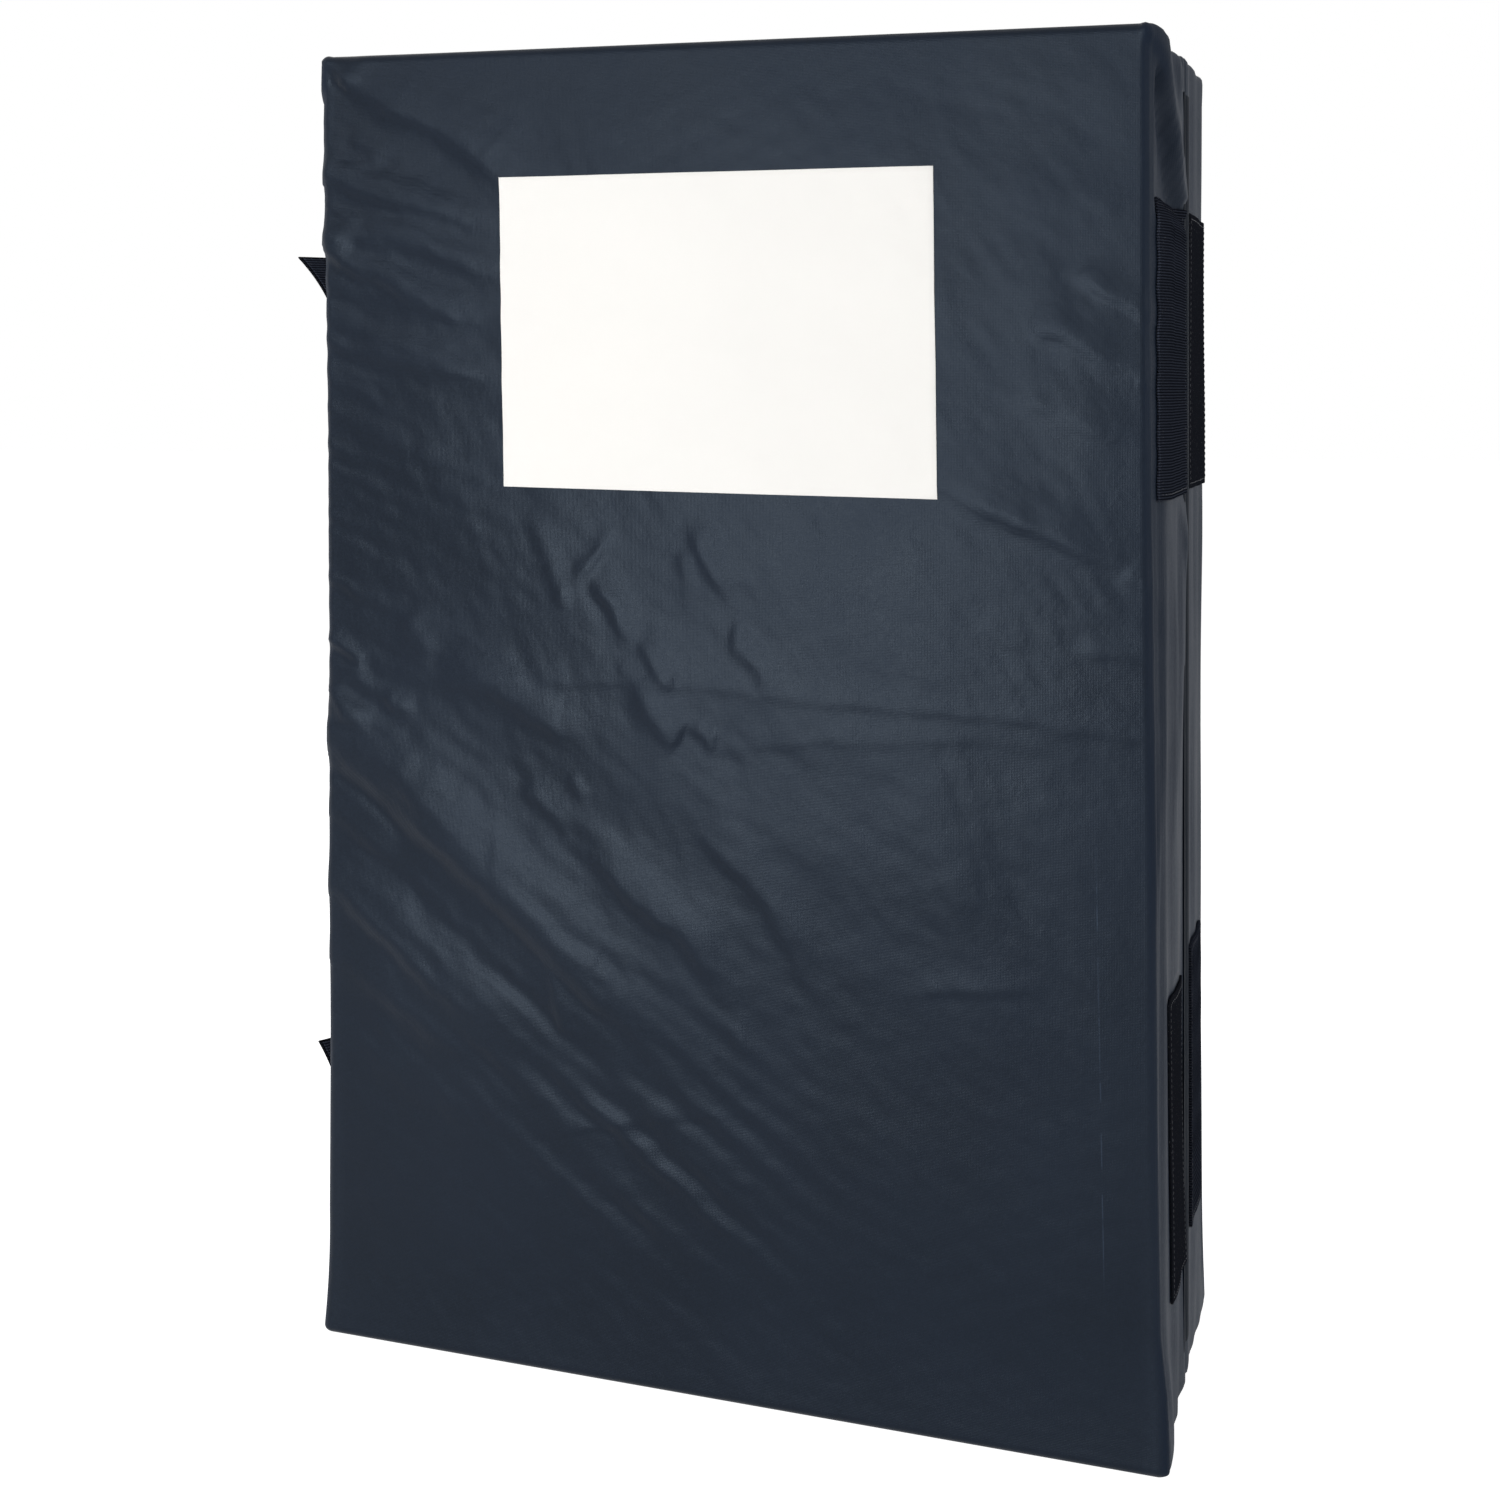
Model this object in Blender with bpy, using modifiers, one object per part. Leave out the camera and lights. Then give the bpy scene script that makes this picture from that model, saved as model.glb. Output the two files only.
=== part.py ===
"""Bouldering crash pad of the folding kind, closed and standing on its short end.

Two foam-filled halves lie face to face and are joined by a cloth hinge down the right side. Two
flaps close the open left side. The back carries shoulder straps, a waist belt and a haul handle.
Metres, +Z up, front towards -Y. The origin is the centre of the rear half's flat bottom face.
"""
import math

import bmesh
import bpy
from mathutils import Matrix, Vector

# Driving sizes of the two halves.
PAD_WIDTH = 0.655
PAD_HEIGHT = 1.000
HALF_THICKNESS = 0.135
HALVES_GAP = 0.0010
COVER_WALL = 0.0010
EDGE_REACH = 0.022
OUTER_CROWN = 0.010
EDGE_DRAW = 0.004
TOP_DRAW = 0.010
BASE_FLARE = 0.006
OPEN_FLARE_SHARE = 0.4
BASE_FLARE_HEIGHT = 0.090
BASE_CUT = 0.0005
WIDTH_LOOP_SHARE = 1 / 3
HEIGHT_LOOP_SHARES = (-0.5, 0.0, 0.5)

# Clearances.
SEAT_GAP = 0.0003
FOAM_GAP = 0.0006
RUNNING_GAP = 0.0004
CUT_OVERRUN = 0.020
PROJECTION_START = 0.040
CUTTER_DEPTH = 0.200
PLANE_TOLERANCE = 0.00001
ROUND_ANGLE = math.radians(35)

# Foam layers, from the ground side to the landing side; the core takes what is left.
GROUND_FOAM = 0.012
LANDING_FOAM = 0.025

# Zip along the top wall of each half.
ZIP_END_MARGIN = 0.0475
ZIP_SLOT_WIDTH = 0.018
ZIP_SLOT_END_GAP = 0.004
TAPE_WIDTH = 0.034
TAPE_THICKNESS = 0.0008
TAPE_END_LAP = 0.010
TEETH_WIDTH = 0.0100
TEETH_HEIGHT = 0.0022
SLIDER_LENGTH = 0.018
SLIDER_WIDTH = 0.0142
SLIDER_PLATE = 0.0016
BAIL_LENGTH = 0.0100
BAIL_WIDTH = 0.0030
BAIL_BAR = 0.0014
BAIL_WINDOW_HEIGHT = 0.0032
PULL_LENGTH = 0.036
PULL_WIDTH = 0.0100
PULL_THICKNESS = 0.0014
PULL_BAR = 0.0016
PULL_CORNER = 0.0025
PULL_TURN_GAP = 0.0006

# Hook and loop patches on the spine walls, which meet when the pad is open.
PATCH_WIDTH = 0.085
PATCH_HEIGHT = 0.210
PATCH_THICKNESS = 0.0025
PATCH_CREASE_GAP = 0.015
UPPER_PATCH_DROP = 0.218
LOWER_PATCH_Z = 0.206

# Cloth hinge at the crease between the halves.
HINGE_LEAF_THICKNESS = 0.0008
HINGE_END_MARGIN = 0.030

# Closing flaps on the open side.
FLAP_HEIGHT = 0.080
FLAP_THICKNESS = 0.0018
FLAP_SEWN_WIDTH = 0.055
FLAP_SEWN_EDGE = 0.030
FLAP_FRONT_MARGIN = 0.030
FLAP_PEEL_LENGTH = 0.075
FLAP_RISE_LENGTH = 0.028
UPPER_FLAP_DROP = 0.170
LOWER_FLAP_Z = 0.180
UPPER_FLAP_PEEL = 0.038
LOWER_FLAP_PEEL = 0.025
FLAP_HOOK_THICKNESS = 0.0010
FLAP_PATCH_THICKNESS = 0.0018
FLAP_PATCH_WIDTH = 0.085
FLAP_PATCH_HEIGHT = 0.100
FLAP_PATCH_MARGIN = 0.005

# Off-white panel on the front face.
PANEL_WIDTH = 0.336
PANEL_HEIGHT = 0.231
PANEL_DROP = 0.204
PANEL_THICKNESS = 0.0004

# Shoulder harness on the back.
YOKE_WIDTH = 0.300
YOKE_HEIGHT = 0.215
YOKE_DROP = 0.165
YOKE_THICKNESS = 0.0012
STRAP_WIDTH = 0.065
STRAP_THICKNESS = 0.014
STRAP_EDGE_BEVEL = 0.004
STRAP_TOP_DROP = 0.170
STRAP_BOW = 0.050
STRAP_TOP_X = 0.080
STRAP_BOTTOM_X = 0.150
STRAP_SEWN_SHARE = 0.12
STRAP_DROP_SHARES = (0.0, STRAP_SEWN_SHARE, 0.24, 0.42, 0.62, 0.88, 1.0)
STRAP_BOW_SHARES = (0.0, 0.0, 0.30, 0.86, 1.0, 0.70, 0.70)
LOCK_WIDTH = 0.034
LOCK_SIDE_BAR = 0.0035
LOCK_BAR = 0.0045
LOCK_SLOT = 0.0090
LOOP_REACH = 0.0080
LOCK_THICKNESS = 0.0040
WEB_WIDTH = 0.025
WEB_THICKNESS = 0.0015
WEB_TAIL = 0.110
WEB_SEWN_LENGTH = 0.040
ANCHOR_WIDTH = 0.060
ANCHOR_HEIGHT = 0.070
ANCHOR_Z = 0.265
ANCHOR_THICKNESS = 0.0012
ADJUSTER_RUN = 0.165

# Waist belt and its side-release buckle.
BELT_Z = 0.165
BELT_WIDTH = 0.038
BELT_ANCHOR_MARGIN = 0.1025
BELT_SEWN_LENGTH = 0.045
BELT_BOW = 0.024
BELT_BOW_SHARES = (0.0, 0.0, 0.30, 0.80, 1.0, 1.0)
BELT_RUN_SHARES = (0.0, 0.20, 0.40, 0.65, 0.90, 1.0)
BUCKLE_HEIGHT = 0.050
BUCKLE_LENGTH = 0.042
BUCKLE_THICKNESS = 0.0120
BUCKLE_WALL = 0.0025
BUCKLE_CAVITY = 0.028
BUCKLE_WINDOW = 0.010
PLUG_LENGTH = 0.016
PRONG_LENGTH = 0.024
PRONG_WIDTH = 0.0060
GUIDE_WIDTH = 0.0060

# Haul handle on the yoke panel.
HANDLE_DROP = 0.095
HANDLE_LENGTH = 0.190
HANDLE_BOW = 0.040
HANDLE_WIDTH = 0.030
HANDLE_THICKNESS = 0.0030
HANDLE_RUN_SHARES = (-0.5, -0.36, -0.27, -0.15, 0.0, 0.15, 0.27, 0.36, 0.5)
HANDLE_BOW_SHARES = (0.0, 0.0, 0.45, 0.90, 1.0, 0.90, 0.45, 0.0, 0.0)

# Divisions of the meshes.
CAGE_SMOOTHING = 1
RUN_STEPS = 4
TURN_STEPS = 6
CORNER_STEPS = 3
FLAP_COLUMNS = 14
FLAP_HOOK_COLUMNS = 8
FLAP_ROWS = 6

# Sizes that follow from the ones above.
HALF_PITCH = HALF_THICKNESS + HALVES_GAP
SPINE_X = PAD_WIDTH / 2
SPINE_OUT = SEAT_GAP + PATCH_THICKNESS + RUNNING_GAP
FOLD_AXIS = Vector((SPINE_X + SPINE_OUT, -HALF_PITCH / 2, 0))
OPEN_X = -PAD_WIDTH / 2
ZIP_LENGTH = PAD_WIDTH - 2 * ZIP_END_MARGIN
UPPER_PATCH_Z = PAD_HEIGHT - UPPER_PATCH_DROP
UPPER_FLAP_Z = PAD_HEIGHT - UPPER_FLAP_DROP
PANEL_Z = PAD_HEIGHT - PANEL_DROP
YOKE_Z = PAD_HEIGHT - YOKE_DROP
HANDLE_Z = PAD_HEIGHT - HANDLE_DROP
STRAP_TOP_Z = PAD_HEIGHT - STRAP_TOP_DROP
STRAP_LENGTH = STRAP_TOP_Z - ANCHOR_Z - ADJUSTER_RUN
BELT_ANCHOR_X = PAD_WIDTH / 2 - BELT_ANCHOR_MARGIN

PAD = bpy.data.collections.new("bouldering_crash_pad")
CUTTERS = bpy.data.collections.new("cutters")


# Scene, materials and linking.
def clear_scene():
    """Remove every object and link the two collections."""
    for obj in list(bpy.data.objects):
        bpy.data.objects.remove(obj, do_unlink=True)
    for collection in (PAD, CUTTERS):
        bpy.context.scene.collection.children.link(collection)


def coated(colour, roughness, metallic=0.0):
    """Return the colour, roughness and metallic value of a finish as one tuple."""
    return (*colour, 1.0), roughness, metallic


NAVY_CLOTH = coated((0.030, 0.038, 0.050), 0.50)
NAVY_STRIP = coated((0.024, 0.030, 0.040), 0.60)
BLACK_TAPE = coated((0.010, 0.010, 0.012), 0.85)
OFF_WHITE = coated((0.93, 0.92, 0.89), 0.60)
BLACK_WEB = coated((0.012, 0.012, 0.014), 0.70)
BLACK_PLASTIC = coated((0.015, 0.015, 0.017), 0.40)
ZIP_METAL = coated((0.08, 0.08, 0.09), 0.35, 0.8)
SOFT_FOAM = coated((0.75, 0.74, 0.66), 0.95)
FIRM_FOAM = coated((0.16, 0.17, 0.19), 0.90)


def dress(obj, finish, empty=None):
    """Give an object its own material, link it and hang it on its joint's empty."""
    colour, roughness, metallic = finish
    material = bpy.data.materials.new(obj.name + "_finish")
    material.use_nodes = True
    shader = material.node_tree.nodes["Principled BSDF"]
    shader.inputs["Base Color"].default_value = colour
    shader.inputs["Roughness"].default_value = roughness
    shader.inputs["Metallic"].default_value = metallic
    obj.data.materials.append(material)
    PAD.objects.link(obj)
    if empty is not None:
        obj.parent = empty
        obj.matrix_parent_inverse = Matrix.Translation(-joint_place(empty))
    return obj


def joint_place(empty):
    """World position of a joint's empty, summed up its parents."""
    place = Vector(empty.location)
    if empty.parent is not None:
        place += joint_place(empty.parent)
    return place


def joint_empty(name, place, parent=None):
    """An empty on a joint's axis."""
    empty = bpy.data.objects.new(name, None)
    PAD.objects.link(empty)
    empty.location = Vector(place)
    if parent is not None:
        empty.parent = parent
        empty.location = Vector(place) - joint_place(parent)
    return empty


# Mesh tools.
def mesh_object(name, bm):
    """Turn a bmesh into an object."""
    mesh = bpy.data.meshes.new(name)
    bm.to_mesh(mesh)
    bm.free()
    return bpy.data.objects.new(name, mesh)


def block(low, high):
    """A box from one corner to the other, as a bmesh."""
    low, high = Vector(low), Vector(high)
    bm = bmesh.new()
    bmesh.ops.create_cube(bm, size=1.0)
    bmesh.ops.scale(bm, vec=high - low, verts=bm.verts)
    bmesh.ops.translate(bm, vec=(low + high) / 2, verts=bm.verts)
    return bm


def cutter(name, low, high):
    """A hidden box that cuts others."""
    obj = mesh_object(name, block(low, high))
    CUTTERS.objects.link(obj)
    obj.hide_render = True
    obj.display_type = "WIRE"
    return obj


def combine(obj, other, operation):
    """Add a Boolean modifier."""
    modifier = obj.modifiers.new(other.name, "BOOLEAN")
    modifier.operation = operation
    modifier.object = other
    modifier.solver = "EXACT"


def smooth(obj):
    """Subdivision Surface, alike in the viewport and the render."""
    modifier = obj.modifiers.new("smooth", "SUBSURF")
    modifier.levels = CAGE_SMOOTHING
    modifier.render_levels = CAGE_SMOOTHING


def thicken(obj, thickness, offset):
    """Solidify with walls of even thickness; offset -1 goes inwards, 1 outwards, 0 both ways."""
    modifier = obj.modifiers.new("thickness", "SOLIDIFY")
    modifier.thickness = thickness
    modifier.offset = offset
    modifier.use_even_offset = True


def round_edges(obj, width):
    """Bevel the sharp edges."""
    modifier = obj.modifiers.new("edges", "BEVEL")
    modifier.width = width
    modifier.segments = 2
    modifier.limit_method = "ANGLE"
    modifier.angle_limit = ROUND_ANGLE


def shade_round(obj):
    """Shade a soft or round piece smooth, with its true edges kept sharp."""
    obj.data.shade_smooth()
    obj.data.set_sharp_from_angle(angle=ROUND_ANGLE)


def plate(name, outlines, thickness, place, turn):
    """A flat plate from closed outlines, the first one outside and the rest holes."""
    curve = bpy.data.curves.new(name, "CURVE")
    curve.dimensions = "2D"
    curve.fill_mode = "BOTH"
    curve.extrude = thickness / 2
    for outline in outlines:
        spline = curve.splines.new("POLY")
        spline.points.add(len(outline) - 1)
        for point, (x, y) in zip(spline.points, outline):
            point.co = (x, y, 0, 1)
        spline.use_cyclic_u = True
    obj = bpy.data.objects.new(name, curve)
    obj.location = place
    obj.rotation_euler = turn
    return obj


def rounded_rectangle(centre_x, centre_y, width, height, radius):
    """Outline of a rectangle with round corners, anticlockwise."""
    points = []
    for corner in range(4):
        start = corner * math.pi / 2
        side_x = 1 if corner in (0, 3) else -1
        side_y = 1 if corner in (0, 1) else -1
        hub_x = centre_x + side_x * (width / 2 - radius)
        hub_y = centre_y + side_y * (height / 2 - radius)
        for step in range(CORNER_STEPS + 1):
            angle = start + step / CORNER_STEPS * math.pi / 2
            points.append((hub_x + radius * math.cos(angle), hub_y + radius * math.sin(angle)))
    return points


def level_slope(before, here, after):
    """Slope at a point of a route that never overshoots its neighbours."""
    slope = Vector((0, 0, 0))
    for axis in range(3):
        come = here[axis] - before[axis]
        go = after[axis] - here[axis]
        if come * go > 0:
            slope[axis] = 2 * come * go / (come + go)
    return slope


def smooth_route(points):
    """A smooth curve through hand-placed points, with RUN_STEPS spans between each pair."""
    route = []
    last = len(points) - 1
    for i in range(last):
        here = points[i]
        there = points[i + 1]
        leave = level_slope(points[i - 1], here, there) if i else there - here
        arrive = level_slope(here, there, points[i + 2]) if i + 1 < last else there - here
        for step in range(RUN_STEPS):
            t = step / RUN_STEPS
            route.append((2 * t**3 - 3 * t**2 + 1) * here + (t**3 - 2 * t**2 + t) * leave
                         + (3 * t**2 - 2 * t**3) * there + (t**3 - t**2) * arrive)
    route.append(points[last])
    return route


def band(name, route, across, width, thickness):
    """A flat strap: a grid laid along a route, as wide as `width` towards `across`, thickened."""
    bm = bmesh.new()
    rows = len(route) - 1
    bmesh.ops.create_grid(bm, x_segments=2, y_segments=rows, size=1.0)
    across = Vector(across)
    for vert in bm.verts:
        row = round((vert.co.y + 1) / 2 * rows)
        vert.co = route[row] + across * (vert.co.x * width / 2)
    obj = mesh_object(name, bm)
    thicken(obj, thickness, 0)
    shade_round(obj)
    return obj


# The two halves.
class Half:
    """Sizes and places of one half of the pad."""

    def __init__(self, side, centre_y, outward):
        self.side = side
        self.centre_y = centre_y
        self.outward = outward
        self.cover = None
        self.tape_top = None

    def named(self, piece):
        """Name of one of this half's pieces."""
        return self.side + "_" + piece


def crowned_cage(half, inset, low, high):
    """Closed cage of a half: crowned outside, edges drawn in between the corners, base flared."""
    half_w = PAD_WIDTH / 2 - inset
    half_t = HALF_THICKNESS / 2 - inset
    middle = (low + high) / 2
    half_h = (high - low) / 2
    bm = block((-half_w, -half_t, low), (half_w, half_t, high))
    loops = [((side * (half_w - EDGE_REACH), 0, 0), (1, 0, 0)) for side in (-1, 1)]
    loops += [((side * half_w * WIDTH_LOOP_SHARE, 0, 0), (1, 0, 0)) for side in (-1, 1)]
    loops += [((0, side * (half_t - EDGE_REACH), 0), (0, 1, 0)) for side in (-1, 1)]
    loops += [((0, 0, middle + side * (half_h - EDGE_REACH)), (0, 0, 1)) for side in (-1, 1)]
    loops += [((0, 0, middle + share * half_h), (0, 0, 1)) for share in HEIGHT_LOOP_SHARES]
    loops.append(((0, 0, BASE_FLARE_HEIGHT), (0, 0, 1)))
    for place, normal in loops:
        everything = bm.verts[:] + bm.edges[:] + bm.faces[:]
        bmesh.ops.bisect_plane(bm, geom=everything, dist=PLANE_TOLERANCE, plane_co=place,
                               plane_no=normal)
    for vert in bm.verts:
        vert.co = crowned_point(half, vert.co, half_w, half_t, low, high)
    bmesh.ops.translate(bm, vec=(0, half.centre_y, 0), verts=bm.verts)
    return bm


def crowned_point(half, point, half_w, half_t, low, high):
    """Where a point of the plain box goes on the stuffed half."""
    x, y, z = point
    half_h = (high - low) / 2
    bow_x = 1 - (x / half_w) ** 2
    bow_z = 1 - ((z - low) / half_h - 1) ** 2
    on_outer = y * half.outward > half_t - PLANE_TOLERANCE
    on_face = abs(y) > half_t - PLANE_TOLERANCE
    on_side = abs(x) > half_w - PLANE_TOLERANCE
    on_top = z > high - PLANE_TOLERANCE
    flare = BASE_FLARE * max(0.0, 1 - z / BASE_FLARE_HEIGHT) ** 2
    moved = Vector(point)
    if on_outer:
        moved.y += half.outward * (OUTER_CROWN * bow_x * bow_z + flare)
    if on_outer and on_side:
        rise = (z - low) / (high - low)
        moved.x -= math.copysign(EDGE_DRAW * bow_z + TOP_DRAW * rise**2, x)
    if on_side and x < 0:
        moved.x -= flare * OPEN_FLARE_SHARE
    if on_face and on_top:
        moved.z -= EDGE_DRAW * bow_x
    return moved


def cloth_hit(half, start, direction):
    """Where a straight line from `start` first meets a half's cover."""
    graph = bpy.context.evaluated_depsgraph_get()
    cover = half.cover.evaluated_get(graph)
    to_cover = cover.matrix_world.inverted()
    hit, place, _, _ = cover.ray_cast(to_cover @ Vector(start), Vector(direction))
    if not hit:
        raise ValueError("no cloth of the " + half.side + " cover along this line")
    return cover.matrix_world @ place


def make_cover(half, empty):
    """Cloth shell of a half, with a slot for the zip and a base cut flat."""
    bm = crowned_cage(half, 0, -BASE_CUT, PAD_HEIGHT)
    cover = mesh_object(half.named("cover"), bm)
    smooth(cover)
    thicken(cover, COVER_WALL, -1)
    slot_length = ZIP_LENGTH + 2 * ZIP_SLOT_END_GAP
    slot = cutter(half.named("zip_slot_cutter"),
                  (-slot_length / 2, half.centre_y - ZIP_SLOT_WIDTH / 2, PAD_HEIGHT - CUT_OVERRUN),
                  (slot_length / 2, half.centre_y + ZIP_SLOT_WIDTH / 2, PAD_HEIGHT + CUT_OVERRUN))
    floor = cutter(half.named("floor_cutter"),
                   (-PAD_WIDTH, half.centre_y - HALF_THICKNESS, -CUTTER_DEPTH),
                   (PAD_WIDTH, half.centre_y + HALF_THICKNESS, 0))
    combine(cover, slot, "DIFFERENCE")
    combine(cover, floor, "DIFFERENCE")
    shade_round(cover)
    half.cover = dress(cover, NAVY_CLOTH, empty)
    tape_edge = (0, half.centre_y + TAPE_WIDTH / 2, PAD_HEIGHT / 2)
    half.tape_top = cloth_hit(half, tape_edge, (0, 0, 1)).z - SEAT_GAP


def make_foam(half, empty):
    """Three foam layers that fill a half: ground side, core and landing side."""
    inset = COVER_WALL + FOAM_GAP
    low = COVER_WALL - BASE_CUT + SEAT_GAP
    high = half.tape_top - TAPE_THICKNESS - SEAT_GAP
    landing = half.centre_y - half.outward * (HALF_THICKNESS / 2 - inset - LANDING_FOAM)
    ground = half.centre_y + half.outward * (HALF_THICKNESS / 2 - inset - GROUND_FOAM)
    past_landing = half.centre_y - half.outward * HALF_THICKNESS
    past_ground = half.centre_y + half.outward * HALF_THICKNESS
    split = half.outward * SEAT_GAP / 2
    layers = (("landing_foam", past_landing, landing - split, FIRM_FOAM),
              ("foam_core", landing + split, ground - split, SOFT_FOAM),
              ("ground_foam", ground + split, past_ground, FIRM_FOAM))
    for piece, start, end, finish in layers:
        foam = mesh_object(half.named(piece), crowned_cage(half, inset, low, high))
        smooth(foam)
        slab = cutter(half.named(piece + "_slab"), (-PAD_WIDTH, min(start, end), -CUT_OVERRUN),
                      (PAD_WIDTH, max(start, end), PAD_HEIGHT + CUT_OVERRUN))
        combine(foam, slab, "INTERSECT")
        shade_round(foam)
        dress(foam, finish, empty)


def make_zip(half, empty):
    """Zip in the top wall: tape under the cloth, teeth, and a slider with its pull tab."""
    tape_half = ZIP_LENGTH / 2 + TAPE_END_LAP
    y = half.centre_y
    tape = mesh_object(half.named("zip_tape"),
                       block((-tape_half, y - TAPE_WIDTH / 2, half.tape_top - TAPE_THICKNESS),
                             (tape_half, y + TAPE_WIDTH / 2, half.tape_top)))
    dress(tape, BLACK_WEB, empty)
    teeth_low = half.tape_top + SEAT_GAP
    teeth_top = teeth_low + TEETH_HEIGHT
    teeth = mesh_object(half.named("zip_teeth"),
                        block((-ZIP_LENGTH / 2, y - TEETH_WIDTH / 2, teeth_low),
                              (ZIP_LENGTH / 2, y + TEETH_WIDTH / 2, teeth_top)))
    dress(teeth, BLACK_PLASTIC, empty)

    slider_x = -ZIP_LENGTH / 2 + SLIDER_LENGTH / 2
    plate_top = teeth_top + SEAT_GAP + SLIDER_PLATE
    window_top = plate_top + BAIL_WINDOW_HEIGHT
    pivot = Vector((slider_x, y, plate_top + BAIL_WINDOW_HEIGHT / 2))
    run = joint_empty(half.named("zip_run"), (slider_x, y, plate_top), empty)
    slider = mesh_object(half.named("zip_slider"),
                         block((slider_x - SLIDER_LENGTH / 2, y - SLIDER_WIDTH / 2, teeth_low),
                               (slider_x + SLIDER_LENGTH / 2, y + SLIDER_WIDTH / 2, plate_top)))
    groove_half = TEETH_WIDTH / 2 + SEAT_GAP
    groove = cutter(half.named("zip_groove_cutter"),
                    (slider_x - SLIDER_LENGTH, y - groove_half, teeth_low - CUT_OVERRUN),
                    (slider_x + SLIDER_LENGTH, y + groove_half, teeth_top + SEAT_GAP))
    bail = cutter(half.named("zip_bail_block"),
                  (slider_x - BAIL_LENGTH / 2, y - BAIL_WIDTH / 2, plate_top - SLIDER_PLATE / 2),
                  (slider_x + BAIL_LENGTH / 2, y + BAIL_WIDTH / 2, window_top + BAIL_BAR))
    window = cutter(half.named("zip_window_cutter"),
                    (slider_x - BAIL_LENGTH / 2 + BAIL_BAR, y - BAIL_WIDTH, plate_top),
                    (slider_x + BAIL_LENGTH / 2 - BAIL_BAR, y + BAIL_WIDTH, window_top))
    combine(slider, groove, "DIFFERENCE")
    combine(slider, bail, "UNION")
    combine(slider, window, "DIFFERENCE")
    dress(slider, ZIP_METAL, run)

    turn = joint_empty(half.named("zip_pull_pivot"), pivot, run)
    hole_width = BAIL_WIDTH + 2 * PULL_TURN_GAP
    hole_near = PULL_BAR / 2
    bail_reach = math.hypot(BAIL_LENGTH / 2, BAIL_WINDOW_HEIGHT / 2 + BAIL_BAR)
    hole_far = bail_reach + PULL_TURN_GAP
    outline = rounded_rectangle(PULL_LENGTH / 2 - PULL_BAR / 2, 0, PULL_LENGTH, PULL_WIDTH,
                                PULL_CORNER)
    outline = [(max(px, -PULL_BAR / 2), py) for px, py in outline]
    hole = rounded_rectangle((hole_near + hole_far) / 2, 0, hole_far - hole_near, hole_width,
                             PULL_TURN_GAP)
    pull = plate(half.named("zip_pull"), [outline, hole], PULL_THICKNESS, pivot, (0, 0, 0))
    dress(pull, ZIP_METAL, turn)


def sewn_patch(name, half, centre, right, up, size, thickness, cells):
    """A flat piece sewn on a cover: a grid projected on the cloth and thickened outwards."""
    right, up = Vector(right), Vector(up)
    normal = right.cross(up)
    bm = bmesh.new()
    bmesh.ops.create_grid(bm, x_segments=cells[0], y_segments=cells[1], size=1.0)
    bmesh.ops.scale(bm, vec=(size[0] / 2, size[1] / 2, 1), verts=bm.verts)
    patch = mesh_object(name, bm)
    place = Vector(centre) + normal * PROJECTION_START
    turned = Matrix((right, up, normal)).transposed().to_4x4()
    patch.matrix_world = Matrix.Translation(place) @ turned
    wrap = patch.modifiers.new("on_cloth", "SHRINKWRAP")
    wrap.target = half.cover
    wrap.wrap_method = "PROJECT"
    wrap.use_project_z = True
    wrap.use_positive_direction = False
    wrap.use_negative_direction = True
    wrap.offset = SEAT_GAP
    thicken(patch, thickness, 1)
    shade_round(patch)
    return patch


def make_spine_patches(half, empty):
    """Upper and lower hook or loop patches on a half's spine wall."""
    for level, height in (("upper", UPPER_PATCH_Z), ("lower", LOWER_PATCH_Z)):
        hooks = (half.outward < 0) == (level == "upper")
        kind = "hook" if hooks else "loop"
        crease_reach = PATCH_CREASE_GAP + PATCH_WIDTH / 2
        patch_y = -HALF_PITCH / 2 + half.outward * crease_reach
        patch = sewn_patch(half.named("spine_" + kind + "_" + level), half,
                           (SPINE_X, patch_y, height), (0, 1, 0), (0, 0, 1),
                           (PATCH_WIDTH, PATCH_HEIGHT), PATCH_THICKNESS, (10, 10))
        dress(patch, BLACK_TAPE, empty)


def make_hinge_leaf(half, empty):
    """Half of the cloth hinge: a strip from the crease to the patches, where the wall is rounded."""
    crease = -HALF_PITCH / 2 + half.outward * SEAT_GAP / 2
    far = -HALF_PITCH / 2 + half.outward * (PATCH_CREASE_GAP - SEAT_GAP)
    leaf = mesh_object(half.named("hinge_leaf"),
                       block((SPINE_X, min(crease, far), HINGE_END_MARGIN),
                             (SPINE_X + HINGE_LEAF_THICKNESS, max(crease, far),
                              PAD_HEIGHT - HINGE_END_MARGIN)))
    dress(leaf, NAVY_STRIP, empty)


# Closing flaps on the open side.
def flap_stack():
    """How far the inner face of a closed flap stands off the wall over the front half's patch."""
    return SEAT_GAP * 3 + FLAP_PATCH_THICKNESS + FLAP_HOOK_THICKNESS


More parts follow.
